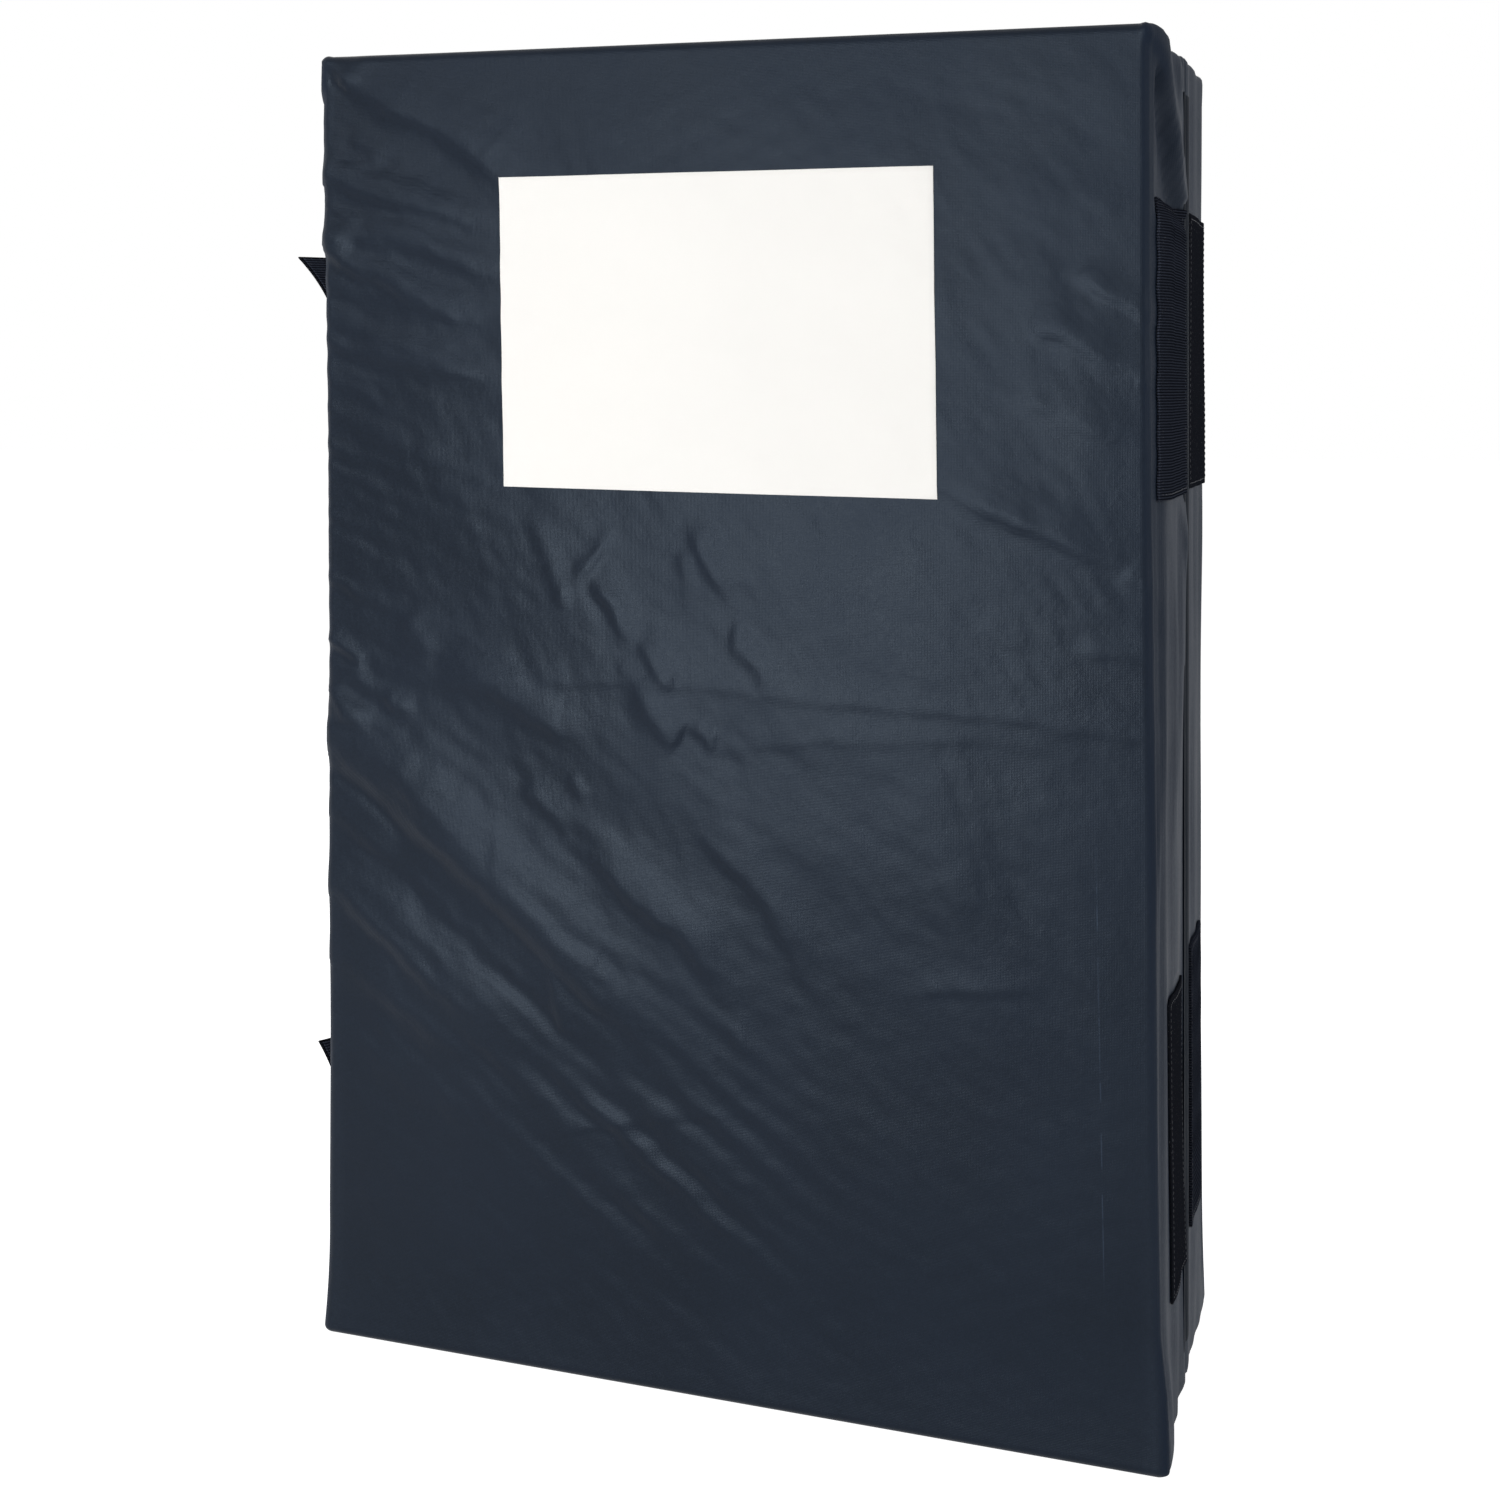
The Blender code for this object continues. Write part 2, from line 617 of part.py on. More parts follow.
def flap_sheet(name, base_z, peel, first_column):
    """Inner face of a closed flap from one of its columns forwards, its upper corner peeled."""
    crease = -HALF_PITCH / 2
    seam_y = -FLAP_SEWN_EDGE
    front_edge = FLAP_FRONT_MARGIN - HALF_PITCH - HALF_THICKNESS / 2
    columns = FLAP_COLUMNS - first_column
    bm = bmesh.new()
    bmesh.ops.create_grid(bm, x_segments=columns, y_segments=FLAP_ROWS, size=1.0)
    for vert in bm.verts:
        along = (first_column + (vert.co.x + 1) / 2 * columns) / FLAP_COLUMNS
        lift = (vert.co.y + 1) / 2
        y = seam_y + (front_edge - seam_y) * along
        rise = min(max((crease + FLAP_RISE_LENGTH / 2 - y) / FLAP_RISE_LENGTH, 0.0), 1.0)
        rise = rise * rise * (3 - 2 * rise)
        reach = max(1 - (y - front_edge) / FLAP_PEEL_LENGTH, 0.0)
        out = SEAT_GAP + (flap_stack() - SEAT_GAP) * rise + peel * reach**2 * lift**2
        vert.co = Vector((OPEN_X - out, y, base_z + (lift - 0.5) * FLAP_HEIGHT))
    return mesh_object(name, bm)


def make_closing_flap(level, base_z, peel, front, rear, fold):
    """A closing flap: the part sewn on the rear half, the free part, and its hook and loop."""
    seam_y = -FLAP_SEWN_EDGE
    sewn = sewn_patch(level + "_flap_anchor", rear,
                      (OPEN_X, seam_y + SEAT_GAP + FLAP_SEWN_WIDTH / 2, base_z),
                      (0, -1, 0), (0, 0, 1), (FLAP_SEWN_WIDTH, FLAP_HEIGHT), FLAP_THICKNESS, (4, 4))
    dress(sewn, BLACK_WEB)

    axis = (OPEN_X - SEAT_GAP * 1.5 - FLAP_THICKNESS, seam_y, base_z)
    turn = joint_empty(level + "_flap_seam", axis)
    flap = flap_sheet(level + "_closing_flap", base_z, peel, 0)
    thicken(flap, FLAP_THICKNESS, 1)
    shade_round(flap)
    dress(flap, BLACK_WEB, turn)

    hook = flap_sheet(level + "_flap_hook_tape", base_z, peel, FLAP_COLUMNS - FLAP_HOOK_COLUMNS)
    apart = hook.modifiers.new("gap", "DISPLACE")
    apart.strength = -SEAT_GAP
    apart.mid_level = 0
    thicken(hook, FLAP_HOOK_THICKNESS, -1)
    shade_round(hook)
    dress(hook, BLACK_TAPE, turn)

    front_edge = FLAP_FRONT_MARGIN - HALF_PITCH - HALF_THICKNESS / 2
    patch_y = front_edge + FLAP_PATCH_MARGIN + FLAP_PATCH_WIDTH / 2
    loop = sewn_patch(level + "_flap_loop_patch", front, (OPEN_X, patch_y, base_z), (0, -1, 0),
                      (0, 0, 1), (FLAP_PATCH_WIDTH, FLAP_PATCH_HEIGHT), FLAP_PATCH_THICKNESS, (5, 4))
    dress(loop, BLACK_TAPE, fold)


# Panel and harness.
def make_panel(front, fold):
    """Bare off-white panel bonded to the front face."""
    panel = sewn_patch("front_panel", front, (0, front.centre_y - HALF_THICKNESS / 2, PANEL_Z),
                       (1, 0, 0), (0, 0, 1), (PANEL_WIDTH, PANEL_HEIGHT), PANEL_THICKNESS, (10, 8))
    dress(panel, OFF_WHITE, fold)


def back_patch(name, rear, x, z, size, thickness, cells):
    """A patch sewn on the back, facing +Y."""
    return sewn_patch(name, rear, (x, HALF_THICKNESS / 2, z), (-1, 0, 0), (0, 0, 1), size,
                      thickness, cells)


def back_y(rear, x, z, build_up):
    """Height of the back's cloth at a place, plus what is sewn on it there and one more gap."""
    start = (x, rear.centre_y + HALF_THICKNESS, z)
    return cloth_hit(rear, start, (0, -1, 0)).y + SEAT_GAP * 2 + build_up


def make_yoke(rear):
    """Reinforcing panel that the shoulder straps and the handle are sewn to, and the handle."""
    yoke = back_patch("strap_yoke_panel", rear, 0, YOKE_Z, (YOKE_WIDTH, YOKE_HEIGHT),
                      YOKE_THICKNESS, (9, 7))
    dress(yoke, NAVY_STRIP)
    points = []
    seat = back_y(rear, 0, HANDLE_Z - HANDLE_WIDTH / 2, YOKE_THICKNESS)
    for run, bow in zip(HANDLE_RUN_SHARES, HANDLE_BOW_SHARES):
        x = HANDLE_LENGTH * run
        points.append(Vector((x, seat + HANDLE_THICKNESS / 2 + HANDLE_BOW * bow, HANDLE_Z)))
    handle = band("haul_handle", smooth_route(points), (0, 0, 1), HANDLE_WIDTH, HANDLE_THICKNESS)
    dress(handle, BLACK_WEB)


def half_turn(x, y, z, radius, up):
    """Half a turn of webbing over (up 1) or under (up -1) a bar, from the pad side outwards."""
    turn = []
    for step in range(TURN_STEPS + 1):
        angle = step / TURN_STEPS * math.pi
        turn.append(Vector((x, y - radius * math.cos(angle), z + up * radius * math.sin(angle))))
    return turn


def make_shoulder_strap(rear, side, sign):
    """One padded strap, its ladder lock, the webbing through it and the lower anchor patch."""
    points = []
    seat = back_y(rear, STRAP_TOP_X - STRAP_WIDTH / 2, STRAP_TOP_Z - STRAP_LENGTH * STRAP_SEWN_SHARE,
                  YOKE_THICKNESS)
    for drop, bow in zip(STRAP_DROP_SHARES, STRAP_BOW_SHARES):
        x = sign * (STRAP_TOP_X + (STRAP_BOTTOM_X - STRAP_TOP_X) * drop * drop * (3 - 2 * drop))
        z = STRAP_TOP_Z - STRAP_LENGTH * drop
        points.append(Vector((x, seat + STRAP_THICKNESS / 2 + STRAP_BOW * bow, z)))
    strap = band(side + "_shoulder_strap", smooth_route(points), (1, 0, 0), STRAP_WIDTH,
                 STRAP_THICKNESS)
    round_edges(strap, STRAP_EDGE_BEVEL)
    dress(strap, BLACK_WEB)

    # The lock hangs below the strap's end on a short loop, in the upright plane through it.
    x = points[-1].x
    lock_y = points[-1].y
    turn_radius = LOCK_THICKNESS / 2 + RUNNING_GAP + WEB_THICKNESS / 2
    loop_top = points[-1].z - SEAT_GAP
    lock_height = 3 * LOCK_BAR + 2 * LOCK_SLOT
    lock_top = loop_top - LOOP_REACH
    lock_z = lock_top - lock_height / 2
    slot_pitch = LOCK_BAR + LOCK_SLOT
    slot_width = LOCK_WIDTH - 2 * LOCK_SIDE_BAR
    outlines = [rounded_rectangle(0, 0, LOCK_WIDTH, lock_height, LOCK_SIDE_BAR)]
    for side_of_bar in (-1, 1):
        outlines.append(rounded_rectangle(0, side_of_bar * slot_pitch / 2, slot_width, LOCK_SLOT,
                                          WEB_THICKNESS))
    lock = plate(side + "_ladder_lock", outlines, LOCK_THICKNESS, (x, lock_y, lock_z),
                 (math.pi / 2, 0, 0))
    dress(lock, BLACK_PLASTIC)

    anchor = back_patch(side + "_strap_anchor", rear, x, ANCHOR_Z, (ANCHOR_WIDTH, ANCHOR_HEIGHT),
                        ANCHOR_THICKNESS, (3, 4))
    dress(anchor, NAVY_STRIP)

    inner_x = abs(x) - WEB_WIDTH / 2
    sewn_y = back_y(rear, inner_x, ANCHOR_Z + WEB_SEWN_LENGTH / 2, ANCHOR_THICKNESS)
    sewn_y += WEB_THICKNESS / 2
    bar_top = lock_z + LOCK_BAR / 2
    lock_low = lock_z - lock_height / 2
    rise = lock_low - ANCHOR_Z - WEB_SEWN_LENGTH / 2
    middle_y = (sewn_y + lock_y - turn_radius) / 2
    loaded = [Vector((x, sewn_y, ANCHOR_Z - WEB_SEWN_LENGTH / 2)),
              Vector((x, sewn_y, ANCHOR_Z + WEB_SEWN_LENGTH / 2)),
              Vector((x, middle_y, lock_low - rise / 2)),
              Vector((x, lock_y - turn_radius, lock_low)),
              Vector((x, lock_y - turn_radius, bar_top))]
    route = smooth_route(loaded)[:-1] + half_turn(x, lock_y, bar_top, turn_radius, 1)
    route.append(Vector((x, lock_y + turn_radius, lock_low)))
    route.append(Vector((x, lock_y + turn_radius, lock_low - WEB_TAIL / 2)))
    route.append(Vector((x, lock_y + turn_radius - WEB_THICKNESS, lock_low - WEB_TAIL)))
    webbing = band(side + "_adjuster_webbing", route, (1, 0, 0), WEB_WIDTH, WEB_THICKNESS)
    dress(webbing, BLACK_WEB)

    upper_bar = lock_top - LOCK_BAR
    legs = (Vector((x, lock_y - turn_radius, loop_top)), Vector((x, lock_y + turn_radius, loop_top)))
    route = [legs[0]] + half_turn(x, lock_y, upper_bar, turn_radius, -1) + [legs[1]]
    loop = band(side + "_lock_loop", route, (1, 0, 0), WEB_WIDTH, WEB_THICKNESS)
    dress(loop, BLACK_WEB)


def belt_route(rear, sign, buckle_end):
    """Middle line of one belt half, from its sewn end to its face of the buckle."""
    patch_end = BELT_ANCHOR_X - (BELT_SEWN_LENGTH + ANCHOR_WIDTH) / 2
    seat = back_y(rear, patch_end, BELT_Z + BELT_WIDTH / 2, ANCHOR_THICKNESS) + WEB_THICKNESS / 2
    points = []
    for run, bow in zip(BELT_RUN_SHARES, BELT_BOW_SHARES):
        x = BELT_ANCHOR_X + (buckle_end - BELT_ANCHOR_X) * run
        points.append(Vector((sign * x, seat + BELT_BOW * bow, BELT_Z)))
    return smooth_route(points)


def make_waist_belt(rear):
    """Two belt halves with their anchor patches and the side-release buckle between them."""
    body_half = BUCKLE_LENGTH / 2
    belts = {}
    for side, sign in (("left", -1), ("right", 1)):
        end = body_half + SEAT_GAP + (PLUG_LENGTH + SEAT_GAP if sign > 0 else 0)
        belts[side] = belt_route(rear, sign, end)
        anchor = back_patch(side + "_belt_anchor", rear,
                            sign * (BELT_ANCHOR_X - BELT_SEWN_LENGTH / 2), BELT_Z,
                            (ANCHOR_WIDTH, ANCHOR_WIDTH), ANCHOR_THICKNESS, (3, 3))
        dress(anchor, NAVY_STRIP)
    y = belts["left"][-1].y
    slide = joint_empty("buckle_run", (body_half, y, BELT_Z))
    left = band("left_waist_belt", belts["left"], (0, 0, 1), BELT_WIDTH, WEB_THICKNESS)
    dress(left, BLACK_WEB)
    right = band("right_waist_belt", belts["right"], (0, 0, 1), BELT_WIDTH, WEB_THICKNESS)
    dress(right, BLACK_WEB, slide)

    half_t = BUCKLE_THICKNESS / 2
    half_h = BUCKLE_HEIGHT / 2
    socket = mesh_object("buckle_socket", block((-body_half, y - half_t, BELT_Z - half_h),
                                                (body_half, y + half_t, BELT_Z + half_h)))
    inner_t = half_t - BUCKLE_WALL
    inner_h = half_h - BUCKLE_WALL
    mouth = cutter("buckle_mouth_cutter",
                   (body_half - BUCKLE_CAVITY, y - inner_t, BELT_Z - inner_h),
                   (body_half + CUT_OVERRUN, y + inner_t, BELT_Z + inner_h))
    window_end = body_half - BUCKLE_CAVITY + BUCKLE_WINDOW + SEAT_GAP
    windows = cutter("buckle_window_cutter",
                     (body_half - BUCKLE_CAVITY + SEAT_GAP, y - inner_t, BELT_Z - BUCKLE_HEIGHT),
                     (window_end, y + inner_t, BELT_Z + BUCKLE_HEIGHT))
    combine(socket, mouth, "DIFFERENCE")
    combine(socket, windows, "DIFFERENCE")
    dress(socket, BLACK_PLASTIC)

    # The plug is one flat outline: its body, two side prongs with heads, and a middle guide.
    reach = inner_h - RUNNING_GAP
    tip = body_half - PRONG_LENGTH
    near = body_half + SEAT_GAP
    guide = GUIDE_WIDTH / 2
    inner = reach - PRONG_WIDTH
    outline = [(near, -inner), (tip, -inner), (tip, -reach), (near, -reach), (near, -half_h),
               (near + PLUG_LENGTH, -half_h), (near + PLUG_LENGTH, half_h), (near, half_h),
               (near, reach), (tip, reach), (tip, inner), (near, inner), (near, guide),
               (tip, guide), (tip, -guide), (near, -guide)]
    plug_thickness = 2 * (inner_t - RUNNING_GAP)
    plug = plate("buckle_plug", [outline], plug_thickness, (0, y, BELT_Z), (math.pi / 2, 0, 0))
    dress(plug, BLACK_PLASTIC, slide)


def build_pad():
    """Build every piece of the pad."""
    clear_scene()
    rear = Half("rear", 0.0, 1)
    front = Half("front", -HALF_PITCH, -1)
    fold = joint_empty("fold_axis", FOLD_AXIS)
    for half, empty in ((rear, None), (front, fold)):
        make_cover(half, empty)
        make_foam(half, empty)
        make_zip(half, empty)
        make_spine_patches(half, empty)
        make_hinge_leaf(half, empty)
    make_panel(front, fold)
    make_closing_flap("upper", UPPER_FLAP_Z, UPPER_FLAP_PEEL, front, rear, fold)
    make_closing_flap("lower", LOWER_FLAP_Z, LOWER_FLAP_PEEL, front, rear, fold)
    make_yoke(rear)
    make_shoulder_strap(rear, "left", -1)
    make_shoulder_strap(rear, "right", 1)
    make_waist_belt(rear)


build_pad()
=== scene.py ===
"""Looks of a folding bouldering crash pad, closed and standing on its short end.

Metres, in the frame's own axes: +X across the face towards the spine, -Y towards the viewer, +Z up.
"""
import logging
import math
from dataclasses import dataclass, field
from enum import Enum
from functools import cache, cached_property, reduce
from typing import Callable, Iterable, Sequence

import bmesh
import bpy
import numpy as np
from mathutils import Matrix, Vector
from mathutils.bvhtree import BVHTree


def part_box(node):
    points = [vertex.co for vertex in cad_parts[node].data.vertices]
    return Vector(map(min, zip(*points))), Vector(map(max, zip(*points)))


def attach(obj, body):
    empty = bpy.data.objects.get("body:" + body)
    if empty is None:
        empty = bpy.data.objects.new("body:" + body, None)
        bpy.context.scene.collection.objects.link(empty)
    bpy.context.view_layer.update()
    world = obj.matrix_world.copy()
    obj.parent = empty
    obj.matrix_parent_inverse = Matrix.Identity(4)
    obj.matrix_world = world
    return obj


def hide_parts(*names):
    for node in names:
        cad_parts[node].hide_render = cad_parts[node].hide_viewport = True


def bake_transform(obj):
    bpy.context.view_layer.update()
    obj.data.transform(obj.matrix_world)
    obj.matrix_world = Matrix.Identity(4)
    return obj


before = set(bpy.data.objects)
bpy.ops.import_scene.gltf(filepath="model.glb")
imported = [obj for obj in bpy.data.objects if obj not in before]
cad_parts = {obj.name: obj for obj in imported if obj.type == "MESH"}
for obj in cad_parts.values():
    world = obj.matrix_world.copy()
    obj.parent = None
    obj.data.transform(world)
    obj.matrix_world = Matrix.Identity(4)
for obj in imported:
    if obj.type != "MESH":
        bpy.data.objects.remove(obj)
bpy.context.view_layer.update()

LOG = logging.getLogger("crash_pad")
Point = tuple[float, float]
Triple = tuple[float, float, float]
Places = np.ndarray
Piece = bpy.types.Object
Material = bpy.types.Material
Socket = bpy.types.NodeSocket

PAD_WIDTH = 0.655
PAD_HEIGHT = 1.000
HALF_THICKNESS = 0.135
HALF_PITCH = 0.136
CREASE_Y = -HALF_PITCH / 2
HALF_WIDTH = PAD_WIDTH / 2
BACK_Y = HALF_THICKNESS / 2
SMOOTH_BELOW = math.radians(50)


# Modelling helpers.
def take_up(piece: Piece | None = None) -> None:
    """Leave edit mode and select one piece alone, or nothing, so the loaded frame is let go.

    Args:
        piece: The piece that becomes the active one.
    """
    if bpy.context.object is not None and bpy.context.object.mode != "OBJECT":
        bpy.ops.object.mode_set(mode="OBJECT")
    bpy.ops.object.select_all(action="DESELECT")
    if piece is not None:
        piece.select_set(True)
        bpy.context.view_layer.objects.active = piece


def named(name: str) -> Piece:
    """Name the piece that was just added, and its mesh.

    Args:
        name: The piece's name.

    Returns:
        The active object.
    """
    piece = bpy.context.object
    piece.name = piece.data.name = name
    return piece


def apply_modifier(piece: Piece, name: str) -> None:
    """Apply the piece's modifier of that name."""
    take_up(piece)
    bpy.ops.object.modifier_apply(modifier=name)


def round_off(piece: Piece, width: float, segments: int, angle: float) -> None:
    """Bevel the sharp edges of a piece and shade it smooth.

    Args:
        piece: The piece to round.
        width: Width of the bevel.
        segments: Faces across each bevel.
        angle: Edges sharper than this many degrees are bevelled.
    """
    bevel = piece.modifiers.new("rounding", "BEVEL")
    bevel.width = width
    bevel.segments = segments
    bevel.limit_method = "ANGLE"
    bevel.angle_limit = math.radians(angle)
    apply_modifier(piece, "rounding")
    bpy.ops.object.shade_smooth_by_angle(angle=SMOOTH_BELOW)


def turn_outwards(piece: Piece, merge: bool = False) -> None:
    """Turn every face of a closed piece outwards.

    Args:
        piece: The piece.
        merge: Whether its doubles are merged and its triangles paired first.
    """
    take_up(piece)
    bpy.ops.object.mode_set(mode="EDIT")
    bpy.ops.mesh.select_all(action="SELECT")
    if merge:
        bpy.ops.mesh.remove_doubles(threshold=0.00002)
        bpy.ops.mesh.tris_convert_to_quads()
    bpy.ops.mesh.normals_make_consistent(inside=False)
    bpy.ops.object.mode_set(mode="OBJECT")


def cut_upright_edges(piece: Piece, cuts: int) -> None:
    """Cut the upright edges of the piece in edit mode into even lengths, and leave edit mode.

    Args:
        piece: The piece.
        cuts: Cuts through each edge.
    """
    bpy.ops.mesh.select_all(action="DESELECT")
    bpy.ops.mesh.select_mode(type="EDGE")
    bm = bmesh.from_edit_mesh(piece.data)
    for edge in bm.edges:
        edge.select = abs(edge.verts[0].co.z - edge.verts[1].co.z) > 0.5
    bmesh.update_edit_mesh(piece.data)
    bpy.ops.mesh.subdivide(number_cuts=cuts)
    bpy.ops.object.mode_set(mode="OBJECT")


def draw_sheet(name: str, columns: int, rows: int, place: Callable[[float, float], Vector],
               thickness: float) -> Piece:
    """Model a sheet: a grid whose points are put in place one by one, then thickened.

    Args:
        name: The sheet's name.
        columns: Faces across it.
        rows: Faces up it.
        place: Where a point goes, from its shares of -1 to 1 across and up.
        thickness: How far it is thickened along its normals.

    Returns:
        The sheet.
    """
    take_up()
    bpy.ops.mesh.primitive_grid_add(x_subdivisions=columns, y_subdivisions=rows, size=2)
    sheet = named(name)
    for vert in sheet.data.vertices:
        vert.co = place(vert.co.x, vert.co.y)
    sheet.data.update()
    solid = sheet.modifiers.new("thickness", "SOLIDIFY")
    solid.thickness = thickness
    solid.offset = 1.0
    solid.use_even_offset = True
    apply_modifier(sheet, "thickness")
    return sheet


def row_of_beads(name: str, rings: int, size: Triple,
                 places: Iterable[tuple[Places, Places]]) -> Piece:
    """Model one small bead and copy it to every place, all in one piece.

    Args:
        name: The piece's name.
        rings: Rings of the bead.
        size: Its size along its own axes.
        places: The way each copy's axes point, and where it goes.

    Returns:
        The piece.
    """
    take_up()
    bpy.ops.mesh.primitive_uv_sphere_add(segments=6, ring_count=rings, radius=0.5)
    beads = named(name)
    beads.scale = size
    bpy.ops.object.transform_apply(location=False, rotation=False, scale=True)
    shape = read_places(beads.data)
    faces = [tuple(p.vertices) for p in beads.data.polygons]
    points, polygons = [], []
    for axes, place in places:
        polygons += [tuple(len(points) + v for v in face) for face in faces]
        points += (shape @ axes + place).tolist()
    beads.data = bpy.data.meshes.new(name)
    beads.data.from_pydata(points, [], polygons)
    bpy.ops.object.shade_smooth()
    return beads


def dress(piece: Piece, body: str | None, slot: str, finish: str, *nodes: str) -> Piece:
    """Give a finished piece its body and its material, and hide the CAD nodes it stands for.

    Args:
        piece: The piece.
        body: The CAD body that it rides on, or nothing for a piece that spans two.
        slot: The record's slot; not used.
        finish: Name of its finish.
        nodes: The CAD nodes that it replaces.

    Returns:
        The piece.
    """
    piece.data.materials.clear()
    piece.data.materials.append(material_of(finish))
    if body is not None:
        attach(piece, body)
    if nodes:
        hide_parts(*nodes)
    LOG.info("%s on %s: %d faces", piece.name, body, len(piece.data.polygons))
    return piece


def refined(node: str, kind: str, rounding: tuple[float, int, float], body: str | None, slot: str,
            finish: str) -> Piece:
    """Make and dress a finer copy of a CAD node, its edges rounded.

    Args:
        node: The CAD node, which the copy stands for.
        kind: Last word of the copy's name.
        rounding: Width, segments and least angle of the bevel.
        body: The CAD body that it rides on, or nothing.
        slot: The record's slot.
        finish: Name of its finish.

    Returns:
        The copy.
    """
    take_up()
    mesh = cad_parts[node].data.copy()
    mesh.name = node + "_" + kind
    piece = bpy.data.objects.new(mesh.name, mesh)
    bpy.context.scene.collection.objects.link(piece)
    turn_outwards(piece, merge=True)
    round_off(piece, *rounding)
    return dress(piece, body, slot, finish, node)


def read_places(mesh: bpy.types.Mesh, what: str = "co") -> Places:
    """Vertex places, or normals, of a mesh as rows.

    Args:
        mesh: The mesh.
        what: Name of the vertex vector.

    Returns:
        The array.
    """
    places = np.empty(len(mesh.vertices) * 3)
    mesh.vertices.foreach_get(what, places)
    return places.reshape(-1, 3)


def write_places(mesh: bpy.types.Mesh, places: Places) -> None:
    """Put an array of rows back as a mesh's vertex places."""
    mesh.vertices.foreach_set("co", places.astype(np.float32).ravel())
    mesh.update()


def ease(value: Places | float) -> Places | float:
    """Smooth step from 0 to 1, held at both ends."""
    value = np.clip(value, 0.0, 1.0)
    return value * value * (3 - 2 * value)


def bell(off: Places | float, width: Places | float) -> Places | float:
    """1 in the middle, and fading to both sides over a width."""
    return np.exp(-(off / width) ** 2)


def toned(colour: Triple, share: float) -> Triple:
    """A colour made darker or lighter."""
    return tuple(share * c for c in colour)


# Finishes.
class Run(Enum):
    """Which axis the threads of a tape or strap run along."""

    ACROSS = 0
    DEPTH = 1
    UPRIGHT = 2


class Board:
    """The nodes of a material or of the world, added and linked in a few words."""

    def __init__(self, owner: Material | bpy.types.World, shader: str = "Principled BSDF") -> None:
        """Start from the shader that the owner comes with.

        Args:
            owner: The new material or world.
            shader: Name of its shader node.
        """
        owner.use_nodes = True
        self.owner = owner
        self.nodes, self.links = owner.node_tree.nodes, owner.node_tree.links
        self.shader = self.nodes[shader]

    @cached_property
    def place(self) -> Socket:
        """The place on the piece, in object coordinates."""
        return self.nodes.new("ShaderNodeTexCoord").outputs["Object"]

    def plug(self, source: object, socket: Socket) -> None:
        """Link a socket to an input, or set a value on it.

        Args:
            source: A socket, a number, a place, or the three numbers of a colour.
            socket: The input.
        """
        if isinstance(source, Socket):
            self.links.new(source, socket)
        else:
            socket.default_value = (*source, 1.0) if socket.type == "RGBA" else source

    def node(self, kind: str, inputs: dict[str | int, object], output: str | int = 0,
             **choices: str) -> Socket:
        """Add one node.

        Args:
            kind: Its type.
            inputs: What goes into its sockets, by name or number.
            output: Which of its outputs is wanted.
            choices: The node's own options.

        Returns:
            That output.
        """
        node = self.nodes.new("ShaderNode" + kind)
        for name, choice in choices.items():
            setattr(node, name, choice)
        for name, source in inputs.items():
            self.plug(source, node.inputs[name])
        return node.outputs[output]

    def noise(self, scale: float, detail: float = 3.0, rough: float = 0.5,
              stretch: Triple = (1, 1, 1)) -> Socket:
        """Noise over the place: waves to the metre, octaves, their share, scale of each axis."""
        place = self.node("Mapping", {"Vector": self.place, "Scale": stretch})
        return self.node("TexNoise", {"Vector": place, "Scale": scale, "Detail": detail,
                                      "Roughness": rough}, "Fac")

    def bands(self, run: Run, pitch: float, waver: float) -> Socket:
        """Even bands that follow one after the other along an axis, at a pitch."""
        return self.node("TexWave", {"Vector": self.place, "Scale": math.pi / (10 * pitch),
                                     "Distortion": waver, "Detail": 2.0, "Detail Scale": 3.0},
                         "Fac", wave_type="BANDS", bands_direction="XYZ"[run.value])

    def weave(self, pitch: float, *runs: Run) -> Socket:
        """Threads that cross: bands along each run, added up."""
        return reduce(self.plus, [self.bands(run, pitch, 0.6) for run in runs])

    def math(self, operation: str, first: object, second: object) -> Socket:
        """One sum on values or sockets."""
        return self.node("Math", {0: first, 1: second}, operation=operation)

    def plus(self, first: object, second: object) -> Socket:
        """One value added to another."""
        return self.math("ADD", first, second)

    def times(self, first: object, second: object) -> Socket:
        """One value times another."""
        return self.math("MULTIPLY", first, second)

    def reach(self, value: Socket, low: float, high: float, start: float = 0.0,
              end: float = 1.0) -> Socket:
        """Map a value's range to another one, held at both ends."""
        return self.node("MapRange", {"Value": value, "From Min": low, "From Max": high,
                                      "To Min": start, "To Max": end})

    def tint(self, share: Socket, first: object, second: object) -> Socket:
        """Mix two colours."""
        return self.node("Mix", {"Factor": share, 6: first, 7: second}, 2, data_type="RGBA")

    def attribute(self, name: str) -> Socket:
        """A value that the mesh carries on its points."""
        return self.node("Attribute", {}, "Fac", attribute_name=name)

    def axis(self, run: Run) -> Socket:
        """One coordinate of the place."""
        return self.node("SeparateXYZ", {0: self.place}, run.value)

    def bumps(self, *layers: tuple[Socket, float, float]) -> Socket:
        """Raise the surface by patterns, one on the other.

        Args:
            layers: Each pattern, its strength and its height in metres.

        Returns:
            The normal.
        """
        under = {}
        for height, strength, depth in layers:
            under = {"Normal": self.node("Bump", {"Height": height, "Strength": strength,
                                                  "Distance": depth, **under})}
        return under["Normal"]

    def seen(self) -> Socket:
        """1 where the camera looks, straight, in a reflection or through glass."""
        path = self.nodes.new("ShaderNodeLightPath").outputs
        return reduce(lambda one, two: self.math("MAXIMUM", one, two),
                      [path["Is " + ray + " Ray"] for ray in ("Camera", "Glossy", "Transmission")])

    def finish(self, **inputs: object) -> None:
        """Plug the shader, by the names of its inputs with _ for a space."""
        for name, source in inputs.items():
            self.plug(source, self.shader.inputs[name.replace("_", " ")])


